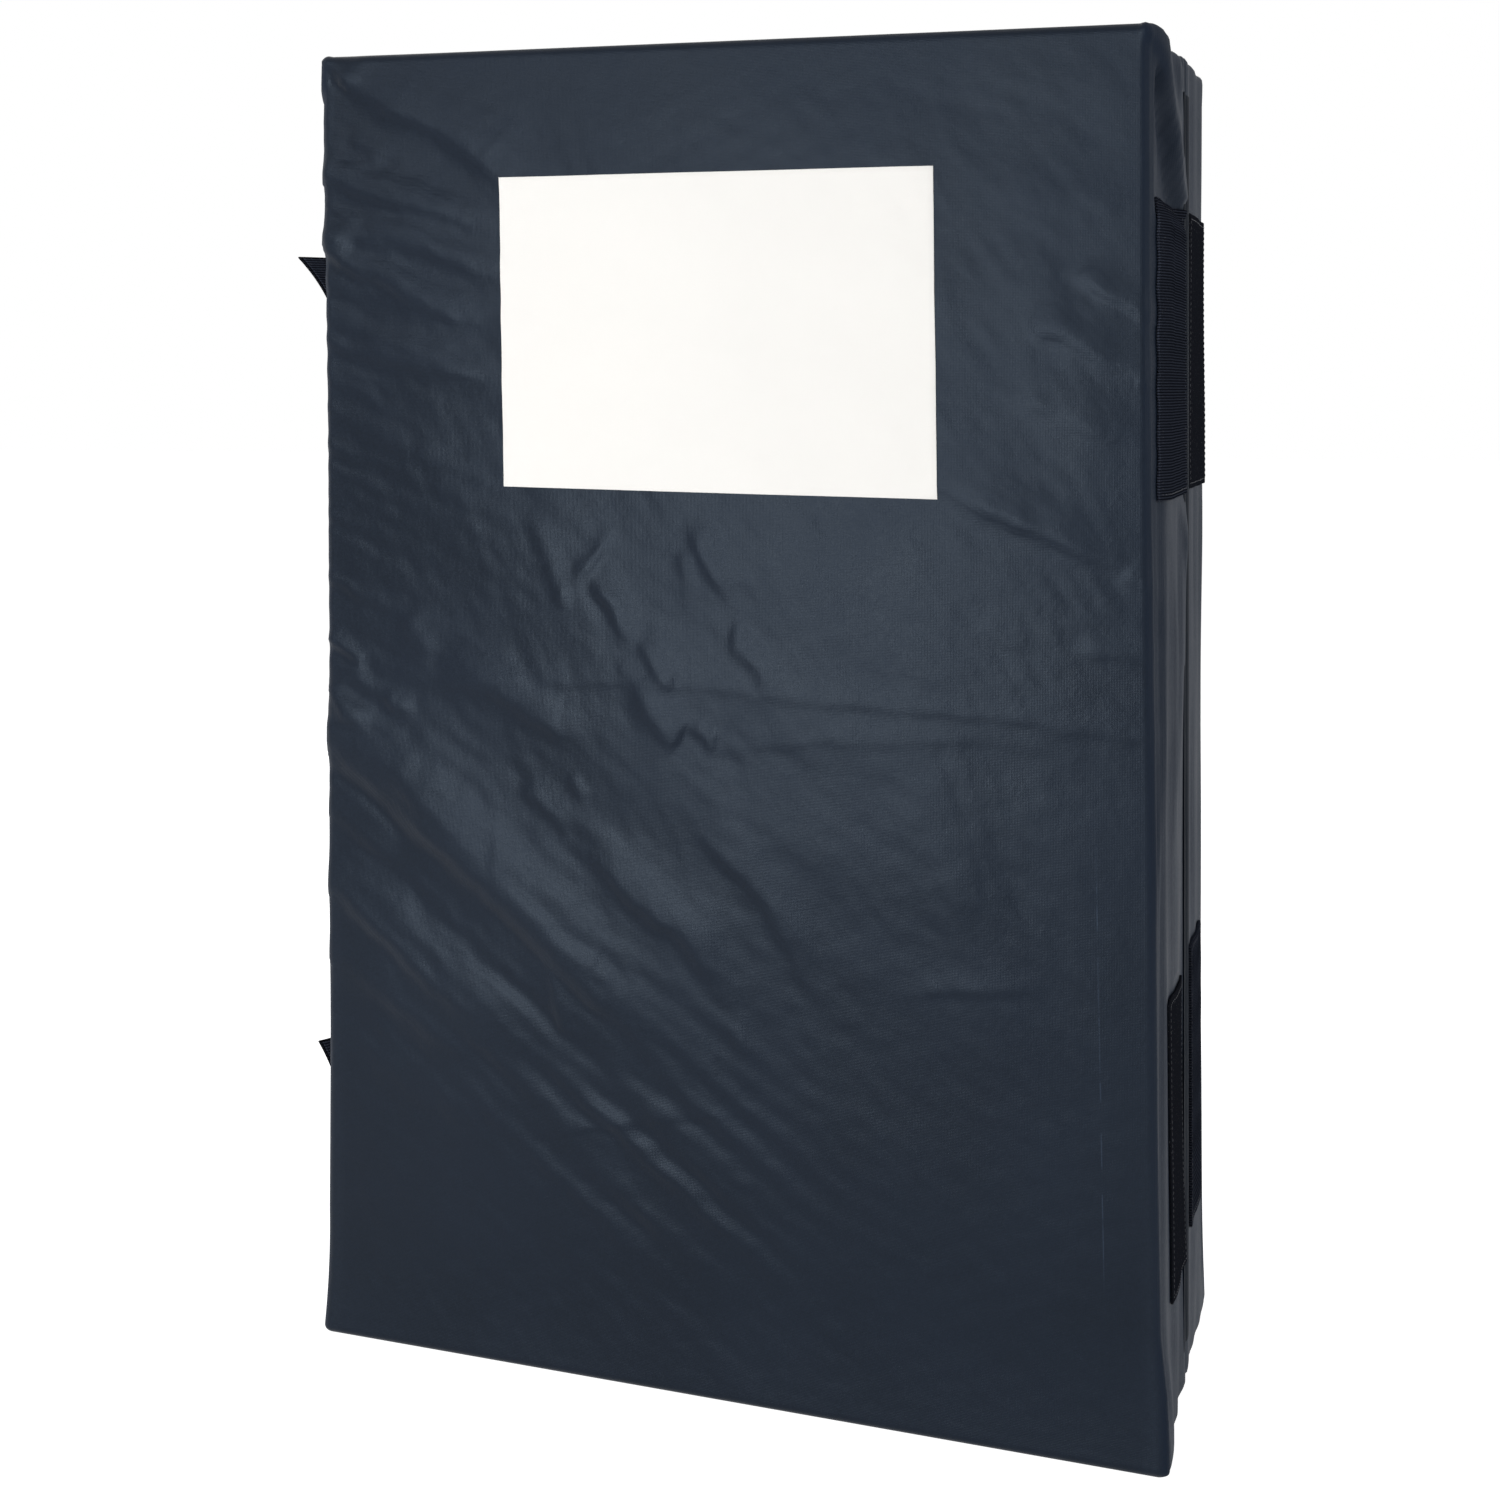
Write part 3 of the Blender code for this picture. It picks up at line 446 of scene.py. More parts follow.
@dataclass(frozen=True)
class Finish:
    """A finish by name, made as a material with its own nodes."""

    name: str

    def material(self) -> Material:
        """Make the material."""
        board = Board(bpy.data.materials.new(self.name))
        self.lay(board)
        return board.owner

    def lay(self, board: Board) -> None:
        """Plug the nodes, in each kind of finish its own way."""
        raise NotImplementedError


@dataclass(frozen=True)
class CoatedCloth(Finish):
    """Satin coated pack cloth: fine weave, soft crinkles, paler where it rubs, and bluer on its
    side walls as a painted reflection.
    """

    colour: Triple = (0.0050, 0.0078, 0.0145)
    rubbed: Triple = (0.014, 0.020, 0.032)
    roughness: float = 0.365
    gloss: float = 0.174
    weave: float = 0.0011
    scratched: bool = False
    wall_painted_reflection: Triple = (0.0060, 0.0110, 0.0230)
    crinkles: Point = (0.30, 0.0022)
    wrinkles: Point = (0.28, 0.0007)
    threads: Point = (0.20, 0.0002)
    glint: Triple = (0.68, 0.83, 1.0)

    def lay(self, board: Board) -> None:
        """Plug the cloth's nodes."""
        patchy = board.noise(7.0, 4.0, 0.55)
        grain = board.noise(420.0, 2.0, 0.6)
        wall = board.attribute("wall")
        colour = board.tint(board.reach(patchy, 0.35, 0.65), toned(self.colour, 0.90),
                            toned(self.colour, 1.12))
        colour = board.tint(board.reach(grain, 0.35, 0.75, 0.0, 0.35), colour,
                            toned(self.colour, 1.6))
        rub = board.times(board.attribute("rub"), board.reach(grain, 0.3, 0.6, 0.5, 1.0))
        colour = board.tint(board.times(rub, 0.55), colour, self.rubbed)
        # Painted reflection: the side walls get a bluer colour that stands in for the bluish sheen
        # they show at a grazing view.
        colour = board.tint(board.times(wall, 0.7), colour, self.wall_painted_reflection)
        if self.scratched:
            colour = board.tint(self.scratch(board), colour, toned(self.rubbed, 2.6))
        rough = board.plus(board.reach(patchy, 0.3, 0.7, -0.045, 0.05), self.roughness)
        rough = board.plus(rough, board.reach(grain, 0.3, 0.7, -0.03, 0.03))
        rough = board.plus(rough, board.times(wall, 0.30))
        crinkle = board.noise(30.0, 5.0, 0.55, (1.0, 1.0, 0.7))
        wrinkle = board.noise(170.0, 4.0, 0.6)
        threads = board.weave(self.weave, Run.ACROSS, Run.UPRIGHT, Run.DEPTH)
        normal = board.bumps((crinkle, *self.crinkles), (wrinkle, *self.wrinkles),
                             (threads, *self.threads))
        board.finish(Base_Color=colour, Roughness=rough, Normal=normal,
                     Specular_IOR_Level=self.gloss, Specular_Tint=self.glint)

    def scratch(self, board: Board) -> Socket:
        """The long thin scuff that runs down near the spine edge of the front."""
        height = board.axis(Run.UPRIGHT)
        across = board.plus(board.axis(Run.ACROSS), board.times(height, 0.0172))
        off = board.math("ABSOLUTE", board.math("SUBTRACT", across, 0.2903), 0.0)
        line = board.reach(off, 0.00015, 0.0006, 1.0, 0.0)
        inside = board.times(board.reach(height, 0.12, 0.15), board.reach(height, 0.44, 0.40))
        broken = board.reach(board.noise(60.0, 3.0, 0.6, (0.2, 1.0, 1.0)), 0.42, 0.58)
        return board.times(board.times(line, inside), board.times(broken, 0.5))


@dataclass(frozen=True)
class HookTape(Finish):
    """Black hook tape: stiff ribs across it, with painted light and shade along the ribs, and
    caught lint.
    """

    pitch: float = 0.0020

    def lay(self, board: Board) -> None:
        """Plug the tape's nodes."""
        ribs = board.bands(Run.UPRIGHT, self.pitch, 0.5)
        hooks = board.bands(Run.DEPTH, 0.0013, 1.2)
        worn = board.noise(60.0, 4.0, 0.6)
        lint = board.reach(board.noise(900.0, 1.0, 0.5), 0.70, 0.74)
        lint = board.times(lint, board.reach(worn, 0.5, 0.62))
        # Painted light and shade: the colour follows the rib bands, lighter on the ribs and darker
        # between them.
        colour = board.tint(board.times(ribs, 0.7), (0.0080, 0.0095, 0.0145),
                            (0.0620, 0.0720, 0.1020))
        board.finish(Base_Color=board.tint(board.times(lint, 0.6), colour, (0.20, 0.20, 0.21)),
                     Roughness=board.reach(worn, 0.3, 0.7, 0.55, 0.8), Specular_IOR_Level=0.0,
                     Normal=board.bumps((ribs, 0.8, 0.0007), (hooks, 0.45, 0.0003)))


@dataclass(frozen=True)
class LoopTape(Finish):
    """Black loop tape: a dense fuzz with specks in it."""

    def lay(self, board: Board) -> None:
        """Plug the tape's nodes."""
        fuzz = board.noise(1100.0, 4.0, 0.75)
        matted = board.noise(75.0, 4.0, 0.6)
        speck = board.reach(board.noise(700.0, 0.0, 0.5), 0.76, 0.79)
        colour = board.tint(fuzz, (0.0060, 0.0068, 0.0095), (0.0280, 0.0310, 0.0420))
        colour = board.tint(board.reach(matted, 0.35, 0.7, 0.0, 0.5), colour,
                            (0.0170, 0.0190, 0.0260))
        board.finish(Base_Color=board.tint(board.times(speck, 0.4), colour, (0.18, 0.18, 0.19)),
                     Roughness=0.95, Specular_IOR_Level=0.0,
                     Normal=board.bumps((matted, 0.5, 0.0012), (fuzz, 0.9, 0.0007)))


@dataclass(frozen=True)
class Webbing(Finish):
    """Woven strap: ribs along the run and cords across it."""

    run: Run
    side: Run
    colour: Triple = (0.0090, 0.0100, 0.0135)
    pitch: float = 0.0022

    def lay(self, board: Board) -> None:
        """Plug the webbing's nodes."""
        twill = board.times(board.bands(self.run, self.pitch, 0.3),
                            board.bands(self.side, self.pitch * 1.3, 0.2))
        dust = board.noise(120.0, 4.0, 0.6)
        colour = board.tint(twill, toned(self.colour, 0.55), toned(self.colour, 1.9))
        colour = board.tint(board.reach(dust, 0.55, 0.8, 0.0, 0.3), colour, (0.016, 0.017, 0.020))
        board.finish(Base_Color=colour, Roughness=board.reach(dust, 0.3, 0.7, 0.6, 0.76),
                     Normal=board.bumps((twill, 0.8, 0.0007), (dust, 0.2, 0.0006)),
                     Specular_IOR_Level=0.0)


@dataclass(frozen=True)
class PanelFilm(Finish):
    """Bare off-white film: matte, with the cloth's grain showing through."""

    colour: Triple = (0.90, 0.885, 0.855)
    weave: float = 0.0011

    def lay(self, board: Board) -> None:
        """Plug the film's nodes."""
        aged = board.reach(board.noise(9.0, 4.0, 0.6), 0.35, 0.7)
        grain = board.noise(500.0, 2.0, 0.6)
        threads = board.weave(self.weave, Run.ACROSS, Run.UPRIGHT)
        board.finish(Base_Color=board.tint(aged, self.colour, toned(self.colour, 0.985)),
                     Roughness=board.reach(grain, 0.3, 0.7, 0.55, 0.66), Specular_IOR_Level=0.25,
                     Normal=board.bumps((grain, 0.12, 0.0004), (threads, 0.06, 0.0002)))


@dataclass(frozen=True)
class Moulded(Finish):
    """Moulded part: fine spark-eroded grain, with rubbed high spots."""

    roughness: float
    colour: Triple = (0.012, 0.012, 0.014)
    metal: float = 0.0

    def lay(self, board: Board) -> None:
        """Plug the part's nodes."""
        grain = board.noise(900.0, 3.0, 0.6)
        worn = board.noise(90.0, 4.0, 0.6)
        colour = board.tint(board.reach(worn, 0.45, 0.75, 0.0, 0.6), self.colour,
                            toned(self.colour, 1.8))
        rough = board.reach(worn, 0.3, 0.7, self.roughness - 0.06, self.roughness + 0.08)
        board.finish(Base_Color=colour, Roughness=rough, Metallic=self.metal,
                     Normal=board.bumps((grain, 0.25, 0.0002)), Specular_IOR_Level=0.45)


@dataclass(frozen=True)
class Thread(Finish):
    """Twisted sewing thread."""

    colour: Triple = (0.030, 0.033, 0.042)

    def lay(self, board: Board) -> None:
        """Plug the thread's nodes."""
        twist = board.bands(Run.UPRIGHT, 0.0008, 2.0)
        board.finish(Base_Color=board.tint(twist, self.colour, toned(self.colour, 1.6)),
                     Roughness=0.6, Normal=board.bumps((twist, 0.4, 0.0002)),
                     Specular_IOR_Level=0.3)


WORN_BLACK = (0.0200, 0.0215, 0.0260)
FINISHES = (
    CoatedCloth("cover_cloth_front", scratched=True),
    CoatedCloth("cover_cloth_rear"),
    CoatedCloth("hinge_cloth", (0.0060, 0.0080, 0.0125), (0.016, 0.020, 0.027), 0.85, 0.10),
    CoatedCloth("strap_cloth", (0.0170, 0.0190, 0.0240), (0.040, 0.042, 0.048), 0.62, 0.20, 0.0016),
    PanelFilm("panel_film"),
    HookTape("hook_tape"),
    LoopTape("loop_tape"),
    Webbing("flap_weave", Run.DEPTH, Run.UPRIGHT),
    Webbing("webbing_level", Run.ACROSS, Run.UPRIGHT, WORN_BLACK),
    Webbing("webbing_upright", Run.UPRIGHT, Run.ACROSS, WORN_BLACK),
    Webbing("zip_tape_weave", Run.ACROSS, Run.DEPTH, pitch=0.0012),
    Moulded("zip_coil_nylon", 0.42),
    Moulded("zip_enamel", 0.34, (0.026, 0.026, 0.029), 0.6),
    Moulded("buckle_moulding", 0.38),
    Thread("sewing_thread"),
)


@cache
def material_of(name: str) -> Material:
    """The material of a finish, made once."""
    return next(finish.material() for finish in FINISHES if finish.name == name)


# Folds in the cloth.
FOOT_GROOVE, FOOT_WIDTH = 0.04, 0.0020
START_TAPER, END_TAPER = 0.3, 0.4
WAVES, WAVE_SPREAD = 26, 0.45
PHASES = 6.28


@dataclass(frozen=True)
class Fold:
    """A fold in millimetres: the foot line of its steep side, with its crest on the line's left.

    The path is one number after the other, across and up. start and end are the shares of the
    height that are left at the two ends.
    """

    path: tuple[int, ...]
    height: float
    steep: float
    gentle: float
    start: float = 0.0
    end: float = 0.0

    def rise(self, across: Places, up: Places) -> Places:
        """How far the fold lifts the cloth at each place of a face.

        Args:
            across: First coordinate of the places on the face.
            Build the pad and its studio.

        Returns:
            The lift of each place.
        """
        points = np.array(self.path).reshape(-1, 2) / 1000
        height, steep, gentle = np.array((self.height, self.steep, self.gentle)) / 1000
        spans = np.diff(points, axis=0)
        lengths = np.hypot(*spans.T)[:, None]
        way_x, way_z = (spans / lengths).T[:, :, None]
        dx, dz = across - points[:-1, :1], up - points[:-1, 1:]
        run = dx * way_x + dz * way_z
        held = np.clip(run, 0.0, lengths)
        gap = np.hypot(dx - held * way_x, dz - held * way_z)
        past = np.zeros(run.shape)
        past[0] = np.maximum(past[0], -run[0])
        past[-1] = np.maximum(past[-1], run[-1] - lengths[-1])
        nearest = (np.argmin(gap, axis=0), np.arange(len(across)))
        reached = np.cumsum(lengths)
        along = (held + (reached[:, None] - lengths))[nearest] / reached[-1]
        distance = (gap * np.where(way_x * dz - way_z * dx > 0, 1, -1))[nearest]
        crest = distance - steep
        profile = bell(crest, np.where(crest > 0, gentle, steep))
        profile -= FOOT_GROOVE * bell(distance, FOOT_WIDTH)
        taper = (self.start + (1 - self.start) * ease(along / START_TAPER)) * (
            self.end + (1 - self.end) * ease((1 - along) / END_TAPER))
        return height * profile * bell(past[nearest], steep * 1.5) * taper


def waviness(across: Places, up: Places, seed: int, longest: float, shortest: float,
             lean: float) -> Places:
    """Smooth random waves, the same on every run.

    Args:
        across: First coordinate of the places.
        up: Second coordinate of the places.
        seed: Which set of waves.
        longest: Longest wave.
        shortest: Shortest wave.
        lean: Angle of the wave crests, which most waves keep near to.

    Returns:
        Values of about -1 to 1.
    """
    random = np.random.default_rng(seed)
    total = np.zeros(across.shape)
    for _ in range(WAVES):
        length = longest * (shortest / longest) ** random.random()
        angle = lean + math.pi / 2 + random.normal(0.0, WAVE_SPREAD)
        phase = random.random() * 2 * math.pi
        bend = 0.6 * np.sin(2 * math.pi * up / (longest * 1.3) + phase)
        total += np.sin(2 * math.pi * (across * math.cos(angle) + up * math.sin(angle)) / length
                        + phase + bend) * (length / longest) ** 0.7
    return total / math.sqrt(WAVES)


def pleats(random: np.random.Generator, count: int, across: Places, up: Places, along: Places,
           sway: float, wave: Point, slope: Point) -> Places:
    """Small leaning waves, side by side.

    Args:
        random: Where the draws come from.
        count: How many waves.
        across: How far across each place is.
        up: How far up each place is.
        along: Where each place is along the waves' own bends.
        sway: How far they bend.
        wave: Shortest wave, and what may be added to it.
        slope: Least slope, and what may be added to it.

    Returns:
        The waves' sum.
    """
    total = np.zeros(len(across))
    for _ in range(count):
        length = wave[0] + wave[1] * random.random()
        phase = random.random() * PHASES
        lean = slope[0] + slope[1] * random.random()
        total += np.sin(2 * math.pi * (up + lean * across) / length + phase
                        + sway * np.sin(along + phase)) * (length / sum(wave))
    return total


# Each row is a path, a height, the widths of the steep and gentle sides, and what the ends keep.
FRONT_FOLDS = tuple(Fold(*row) for row in (
    # Corner and fan left of the panel.
    ((-324, 1009, -312, 996, -300, 981), 1.8, 5, 12, 1, 0.2),
    ((-302, 985, -268, 963, -228, 945, -193, 923, -166, 893), 3.6, 11, 30, 0.6, 0.3),
    ((-324, 913, -290, 900, -246, 889, -207, 877, -166, 865), 3, 8, 18, 1, 0.1),
    ((-307, 947, -291, 936, -274, 918), 0.8, 6, 10),
    ((-322, 896, -306, 882, -290, 876), 1.1, 5, 8, 1),
    ((-324, 866, -270, 863, -238, 856, -207, 842, -164, 825), 3.2, 9, 16, 0.6, 0.2),
    ((-325, 860, -313, 843, -279, 833, -247, 814, -221, 805, -166, 790), 3.4, 10, 16, 1, 0.2),
    ((-310, 785, -282, 775, -248, 767, -208, 757, -164, 745), 3, 9, 20, 0.2, 0.2),
    ((-305, 712, -255, 693, -205, 683), 1.2, 10, 22),
    # Right of the panel.
    ((261, 832, 291, 810, 316, 797), 1.8, 7, 12, 0, 0.6),
    ((223, 798, 263, 777, 308, 755), 2, 9, 14, 0, 0.6),
    ((262, 889, 280, 875, 300, 863), 0.6, 8, 14),
    ((194, 841, 243, 803, 299, 768), 1, 12, 20),
    ((172, 675, 206, 658, 239, 645, 271, 632, 308, 618), 2.6, 10, 20, 0.4, 0.3),
    ((218, 746, 260, 723, 311, 706), 1.2, 10, 16, 0, 0.5),
    ((296, 619, 324, 602), 0.9, 6, 10, 0, 1),
    ((191, 578, 223, 569, 247, 571), 0.3, 6, 10),
    ((265, 563, 292, 561, 322, 562), 0.7, 6, 8, 0, 1),
    # Crumples under the panel.
    ((-99, 606, -79, 581, -63, 557), 1.6, 5, 12),
    ((-61, 570, -47, 544, -34, 528, -20, 522), 1.3, 5, 14),
    ((-67, 534, -52, 505, -30, 478, -20, 477), 2.2, 9, 18, 0.2),
    ((-23, 656, -8, 625, 17, 588), 1.6, 6, 14),
    ((15, 590, 20, 559, 35, 543, 41, 523), 1.2, 6, 12),
    ((-27, 635, -22, 610, -14, 587), 0.6, 6, 8),
    ((-137, 622, -124, 594, -113, 586), 0.7, 6, 9),
    ((-112, 584, -110, 595, -109, 607), 0.6, 6, 6),
    ((-109, 600, -89, 620, -71, 649), 1, 5, 6),
    ((-155, 654, -142, 634, -131, 609), 0.6, 9, 12),
    ((-233, 525, -181, 514, -161, 505, -127, 487, -86, 483), 2.6, 10, 22, 0, 0),
    ((-322, 520, -229, 524, -105, 527, -25, 528, 55, 523, 204, 516, 321, 505), 0.5, 5, 10, 1, 1),
    ((-34, 481, 19, 483, 55, 490, 189, 499, 296, 496), 0.4, 5, 10),
    ((-20, 506, 2, 482, 14, 481), 1, 5, 10),
    ((-323, 551, -310, 541, -292, 526), 1.4, 5, 10, 1),
    ((-280, 513, -267, 501, -242, 498), 1.4, 5, 12),
    ((-267, 571, -249, 552, -231, 536), 1.4, 9, 16),
    ((-323, 511, -311, 492, -288, 481), 1.6, 6, 12, 1),
    # Long diagonal folds over the lower left.
    ((-324, 461, -269, 431, -239, 403, -196, 367, -150, 329, -112, 294, -68, 267, -22, 238), 5.8,
      17, 40, 0.7, 0.1),
    ((-326, 411, -300, 395, -266, 372), 1.3, 8, 14, 1),
    ((-325, 348, -281, 318, -247, 290, -200, 259, -163, 235, -135, 219), 4, 14, 26, 0.6, 0.1),
    ((-321, 292, -243, 248, -185, 213), 2.6, 13, 22, 0.5),
    ((-303, 225, -234, 188, -175, 166), 1.2, 14, 22),
    ((-115, 412, -86, 384, -61, 361, -24, 340, 1, 305, 16, 283), 2.8, 10, 22, 0.2, 0.1),
    ((-20, 430, 16, 395, 40, 372, 55, 345, 74, 309), 1.8, 7, 22, 0.1, 0.1),
    ((-158, 451, -136, 428, -108, 413), 1.4, 6, 12),
    ((-119, 459, -109, 445, -100, 435), 0.8, 5, 6),
    ((16, 286, 18, 261, 18, 233), 0.6, 5, 10),
    ((-178, 426, -178, 397, -179, 369), 0.5, 5, 8),
    ((-139, 323, -124, 266, -106, 246), 1.2, 5, 10),
    ((115, 456, 165, 406, 194, 356), 1, 14, 26),
    ((-158, 172, -56, 201, 53, 221), 0.5, 4, 12),
    ((145, 314, 204, 322, 261, 327), 0.6, 4, 12),
))

SPINE_FOLDS = tuple(Fold(*row) for row in (
    ((-150, 998, -118, 955, -90, 918), 2.6, 9, 20, 0.6, 0.2),
    ((-190, 960, -180, 925, -150, 892), 2, 8, 14, 0.2, 0.2),
    ((-184, 660, -187, 520, -205, 365), 1.8, 6, 10),
    ((-146, 637, -144, 517, -145, 400), 2.2, 8, 12),
    ((-100, 660, -103, 555, -125, 437), 1.8, 7, 12),
    ((-120, 672, -85, 640, -78, 600), 2, 7, 12, 0.5, 0.2),
))


# The two stuffed halves.
STATIONS = np.array((
    0, 12, 26, 42, 58, 74, 92, 120, 160, 210, 270, 340, 420, 500, 560, 584, 600, 675, 750, 766,
    790, 850, 930, 1010, 1080, 1140, 1190, 1230, 1260, 1290, 1320, 1350)) / 10000


def within(value: Places, low: float, high: float, soft: float) -> Places:
    """1 between two limits, easing to 0 at both."""
    return ease((value - low) / soft) * ease((high - value) / soft)


def lift_of(folds: Sequence[Fold], across: Places, up: Places, where: Places) -> Places:
    """How far folds together lift the cloth.

    Args:
        folds: The folds.
        across: First coordinate of the places on the face.
        up: Second coordinate of the places.
        where: Which places the folds reach.

    Returns:
        The lift of each place.
    """
    total = np.zeros(len(across))
    for fold in folds:
        total[where] += fold.rise(across[where], up[where])
    return total


@dataclass
class Stitching:
    """Rows of sewing on one body, all in one piece."""

    body: str
    length: float = 0.0030
    pitch: float = 0.0044
    thick: float = 0.0008
    places: list[tuple[Places, Places]] = field(default_factory=list)

    def row(self, route: Sequence[Vector], out: Vector) -> None:
        """Add a row of stitches along a route.

        Args:
            route: Points of the row on the cloth.
            out: The way the cloth faces.
        """
        carried = 0.0
        for here, there in zip(route, route[1:]):
            length = (there - here).length
            if length < 1e-6:
                continue
            way = (there - here) / length
            side = out.cross(way).normalized()
            axes = np.array((way, side, way.cross(side).normalized()))
            while carried < length:
                self.places.append((axes, np.array(here + way * carried)))
                carried += self.pitch
            carried -= length

    def build(self) -> None:
        """Sew every row with copies of one modelled stitch."""
        size = (self.length, self.thick, self.thick * 0.9)
        stitches = row_of_beads(self.body + "_stitching", 4, size, self.places)
        dress(stitches, self.body, "harness_webbing", "sewing_thread")


@dataclass
class PaddedHalf:
    """One half: its cloth over the foam, with crown, seams, folds and the zip's channel."""

    side: str
    centre_y: float
    outward: int
    columns: int
    rows: int
    seed: int
    folds: tuple[Fold, ...] = ()
    spine_folds: tuple[Fold, ...] = ()
    top_lean: float = 0.0
    top_lift: float = 0.0
    slump: float = 0.0
    foot: float = 0.0
    wall_out: float = 0.0008
    open_out: tuple[Point, ...] = ((0.0, 0.0), (1.0, 0.0))
    spine_out: tuple[Point, ...] = ((0.0, 0.0), (1.0, 0.0))
    relief: float = 1.28
    rounding: float = 0.0065
    crown: float = 0.0094
    edge_draw: float = 0.004
    top_draw: float = 0.010
    flare: float = 0.006
    flare_height: float = 0.090
    band: float = 0.022
    spread_reach: float = 0.060
    lean_reach: float = 0.045
    lip: float = 0.0006
    channel: float = 0.0090
    channel_reach: float = 0.2845
    channel_depth: float = 0.0034
    seam: float = 0.0066
    welt: float = 0.0040
    wander: float = 0.0016
    waves: float = 0.0011
    ripples: float = 0.00022
    slack: float = 0.0012
    pleats: float = 0.00042
    streaks: float = 0.00030
    ear_heights: tuple[float, ...] = (0.862, 0.880, 0.930, 0.962, 0.995)
    ear_line: tuple[float, ...] = (-0.064, -0.080, -0.128, -0.168, -0.204)
    ear_hollow: float = 0.011
    ear_crest: float = 0.0035
    deepest: float = 0.012
    under_tape: float = 0.0004
    surface: BVHTree | None = None
    sewing: Stitching | None = None

    def build(self) -> None:
        """Model the half's cloth and dress it."""
        self.sewing = Stitching(self.side + "_half")
        cloth = self.stretch_box()
        places, depth = self.stuff(read_places(cloth.data))
        write_places(cloth.data, places)
        turn_outwards(cloth)
        self.crease(cloth.data, depth)
        bpy.ops.object.shade_smooth()
        self.surface = BVHTree.FromPolygons([v.co.copy() for v in cloth.data.vertices],
                                            [tuple(p.vertices) for p in cloth.data.polygons])
        dress(cloth, self.sewing.body, "cover_cloth", "cover_cloth_" + self.side,
              *(self.side + "_" + layer
                for layer in ("cover", "landing_foam", "foam_core", "ground_foam")))

    def stretch_box(self) -> Piece:
        """A finely divided box: a grid drawn out, its side walls cut into stations."""
        take_up()
        bpy.ops.mesh.primitive_grid_add(x_subdivisions=self.columns, y_subdivisions=self.rows,
                                        size=2)
        cloth = named(self.side + "_cover_cloth")
        bpy.ops.object.mode_set(mode="EDIT")
        bpy.ops.mesh.select_all(action="SELECT")
        bpy.ops.mesh.extrude_region_move(TRANSFORM_OT_translate={"value": (0, 0, 1)})
        cut_upright_edges(cloth, len(STATIONS) - 2)
        return cloth

    def stuff(self, box: Places) -> tuple[Places, Places]:
        """Where each point of the plain box goes on the stuffed half.

        Args:
            box: Places on the box, -1 to 1 across and up, 0 to 1 through.

        Returns:
            The places, and each one's depth behind the outer face.
        """
        size = np.array((HALF_WIDTH, BACK_Y, PAD_HEIGHT / 2))
        x, z = ((0.8 * box[:, :2] + 0.2 * np.sin(box[:, :2] * math.pi / 2)) * size[::2]).T
        depth = STATIONS[np.round(box[:, 2] * (len(STATIONS) - 1)).astype(int)]
        plain = np.stack((x, BACK_Y - depth, z), axis=1)
        core = np.clip(plain, self.rounding - size, size - self.rounding)
        off = plain - core
        length = np.maximum(np.linalg.norm(off, axis=1, keepdims=True), 1e-9)
        x, through, z = (core + off / length * self.rounding).T
        z = z + PAD_HEIGHT / 2

        # Crown, drawn-in edges and the flare at the foot.
        bow_x = 1 - (x / HALF_WIDTH) ** 2
        bow_z = 1 - (2 * z / PAD_HEIGHT - 1) ** 2
        outer = ease(1 - depth / self.band)
        inner = ease(1 - (HALF_THICKNESS - depth) / self.band)
        flare = self.flare * np.maximum(0.0, 1 - z / self.flare_height) ** 2
        edge = np.abs(x / HALF_WIDTH) ** 8
        draw = self.edge_draw * bow_z + self.top_draw * z ** 2
        x = x - np.sign(x) * draw * outer * edge
        x = x - np.where(x < 0, 0.4 * flare * edge, 0.0)
        wide = (np.interp(z, *zip(*self.spine_out)) * (x > 0)
                - np.interp(z, *zip(*self.open_out)) * (x < 0))
        x = x + wide * edge * ease(1 - depth / self.spread_reach)
        z = z - self.edge_draw * bow_x * ease(1 - (PAD_HEIGHT - z) / self.band) * inner
        through = through + outer * (self.crown * bow_x * bow_z + flare)

        # The leaning top, the slack corner of the spine and the zip's channel.
        lean = self.top_lift - self.top_lean * x / HALF_WIDTH
        z = z + lean * np.clip(z, 0, 1) ** 1.5 * ease(1 - depth / self.lean_reach)
        slump = self.slump * ease((x - 0.300) / 0.030) * ease((z - 0.90) / 0.09)
        z = z - slump * ease((depth - 0.008) / 0.030) * ease((HALF_THICKNESS - depth) / 0.020)
        lip = ease((self.channel + self.lip - np.abs(depth - BACK_Y)) / (2 * self.lip))
        ends = ease((self.channel_reach - np.abs(x)) / 0.004)
        z = z - self.channel_depth * lip * ends * (z > PAD_HEIGHT - 0.004)
        return np.stack((x, self.centre_y + self.outward * through, z), axis=1), depth

    def gathers(self, x: Places, z: Places) -> Places:
        """Small pleats from the open side's seam, and long streaks beside the big diagonal folds.

        Args:
            x: Places across the face.
            z: Places up it.

        Returns:
            The lift of each place.
        """
        random = np.random.default_rng(self.seed + 9)
        from_seam = x + HALF_WIDTH
        pleated = pleats(random, 9, from_seam, z, z * 21, 1.5, (0.011, 0.024), (0.30, 0.25))
        streaked = pleats(random, 10, x, z, x * 17, 1.2, (0.016, 0.034), (0.68, 0.20))
        seam = np.exp(-from_seam / 0.055) * ease((z - 0.40) / 0.08) * ease((0.99 - z) / 0.05)
        band = bell(z + 0.72 * x - 0.19, 0.13) * ease((0.14 - x) / 0.16)
        return (self.pleats * pleated * seam + self.streaks * streaked * band
                * (0.35 + 0.65 * ease((x + 0.33) / 0.05)))

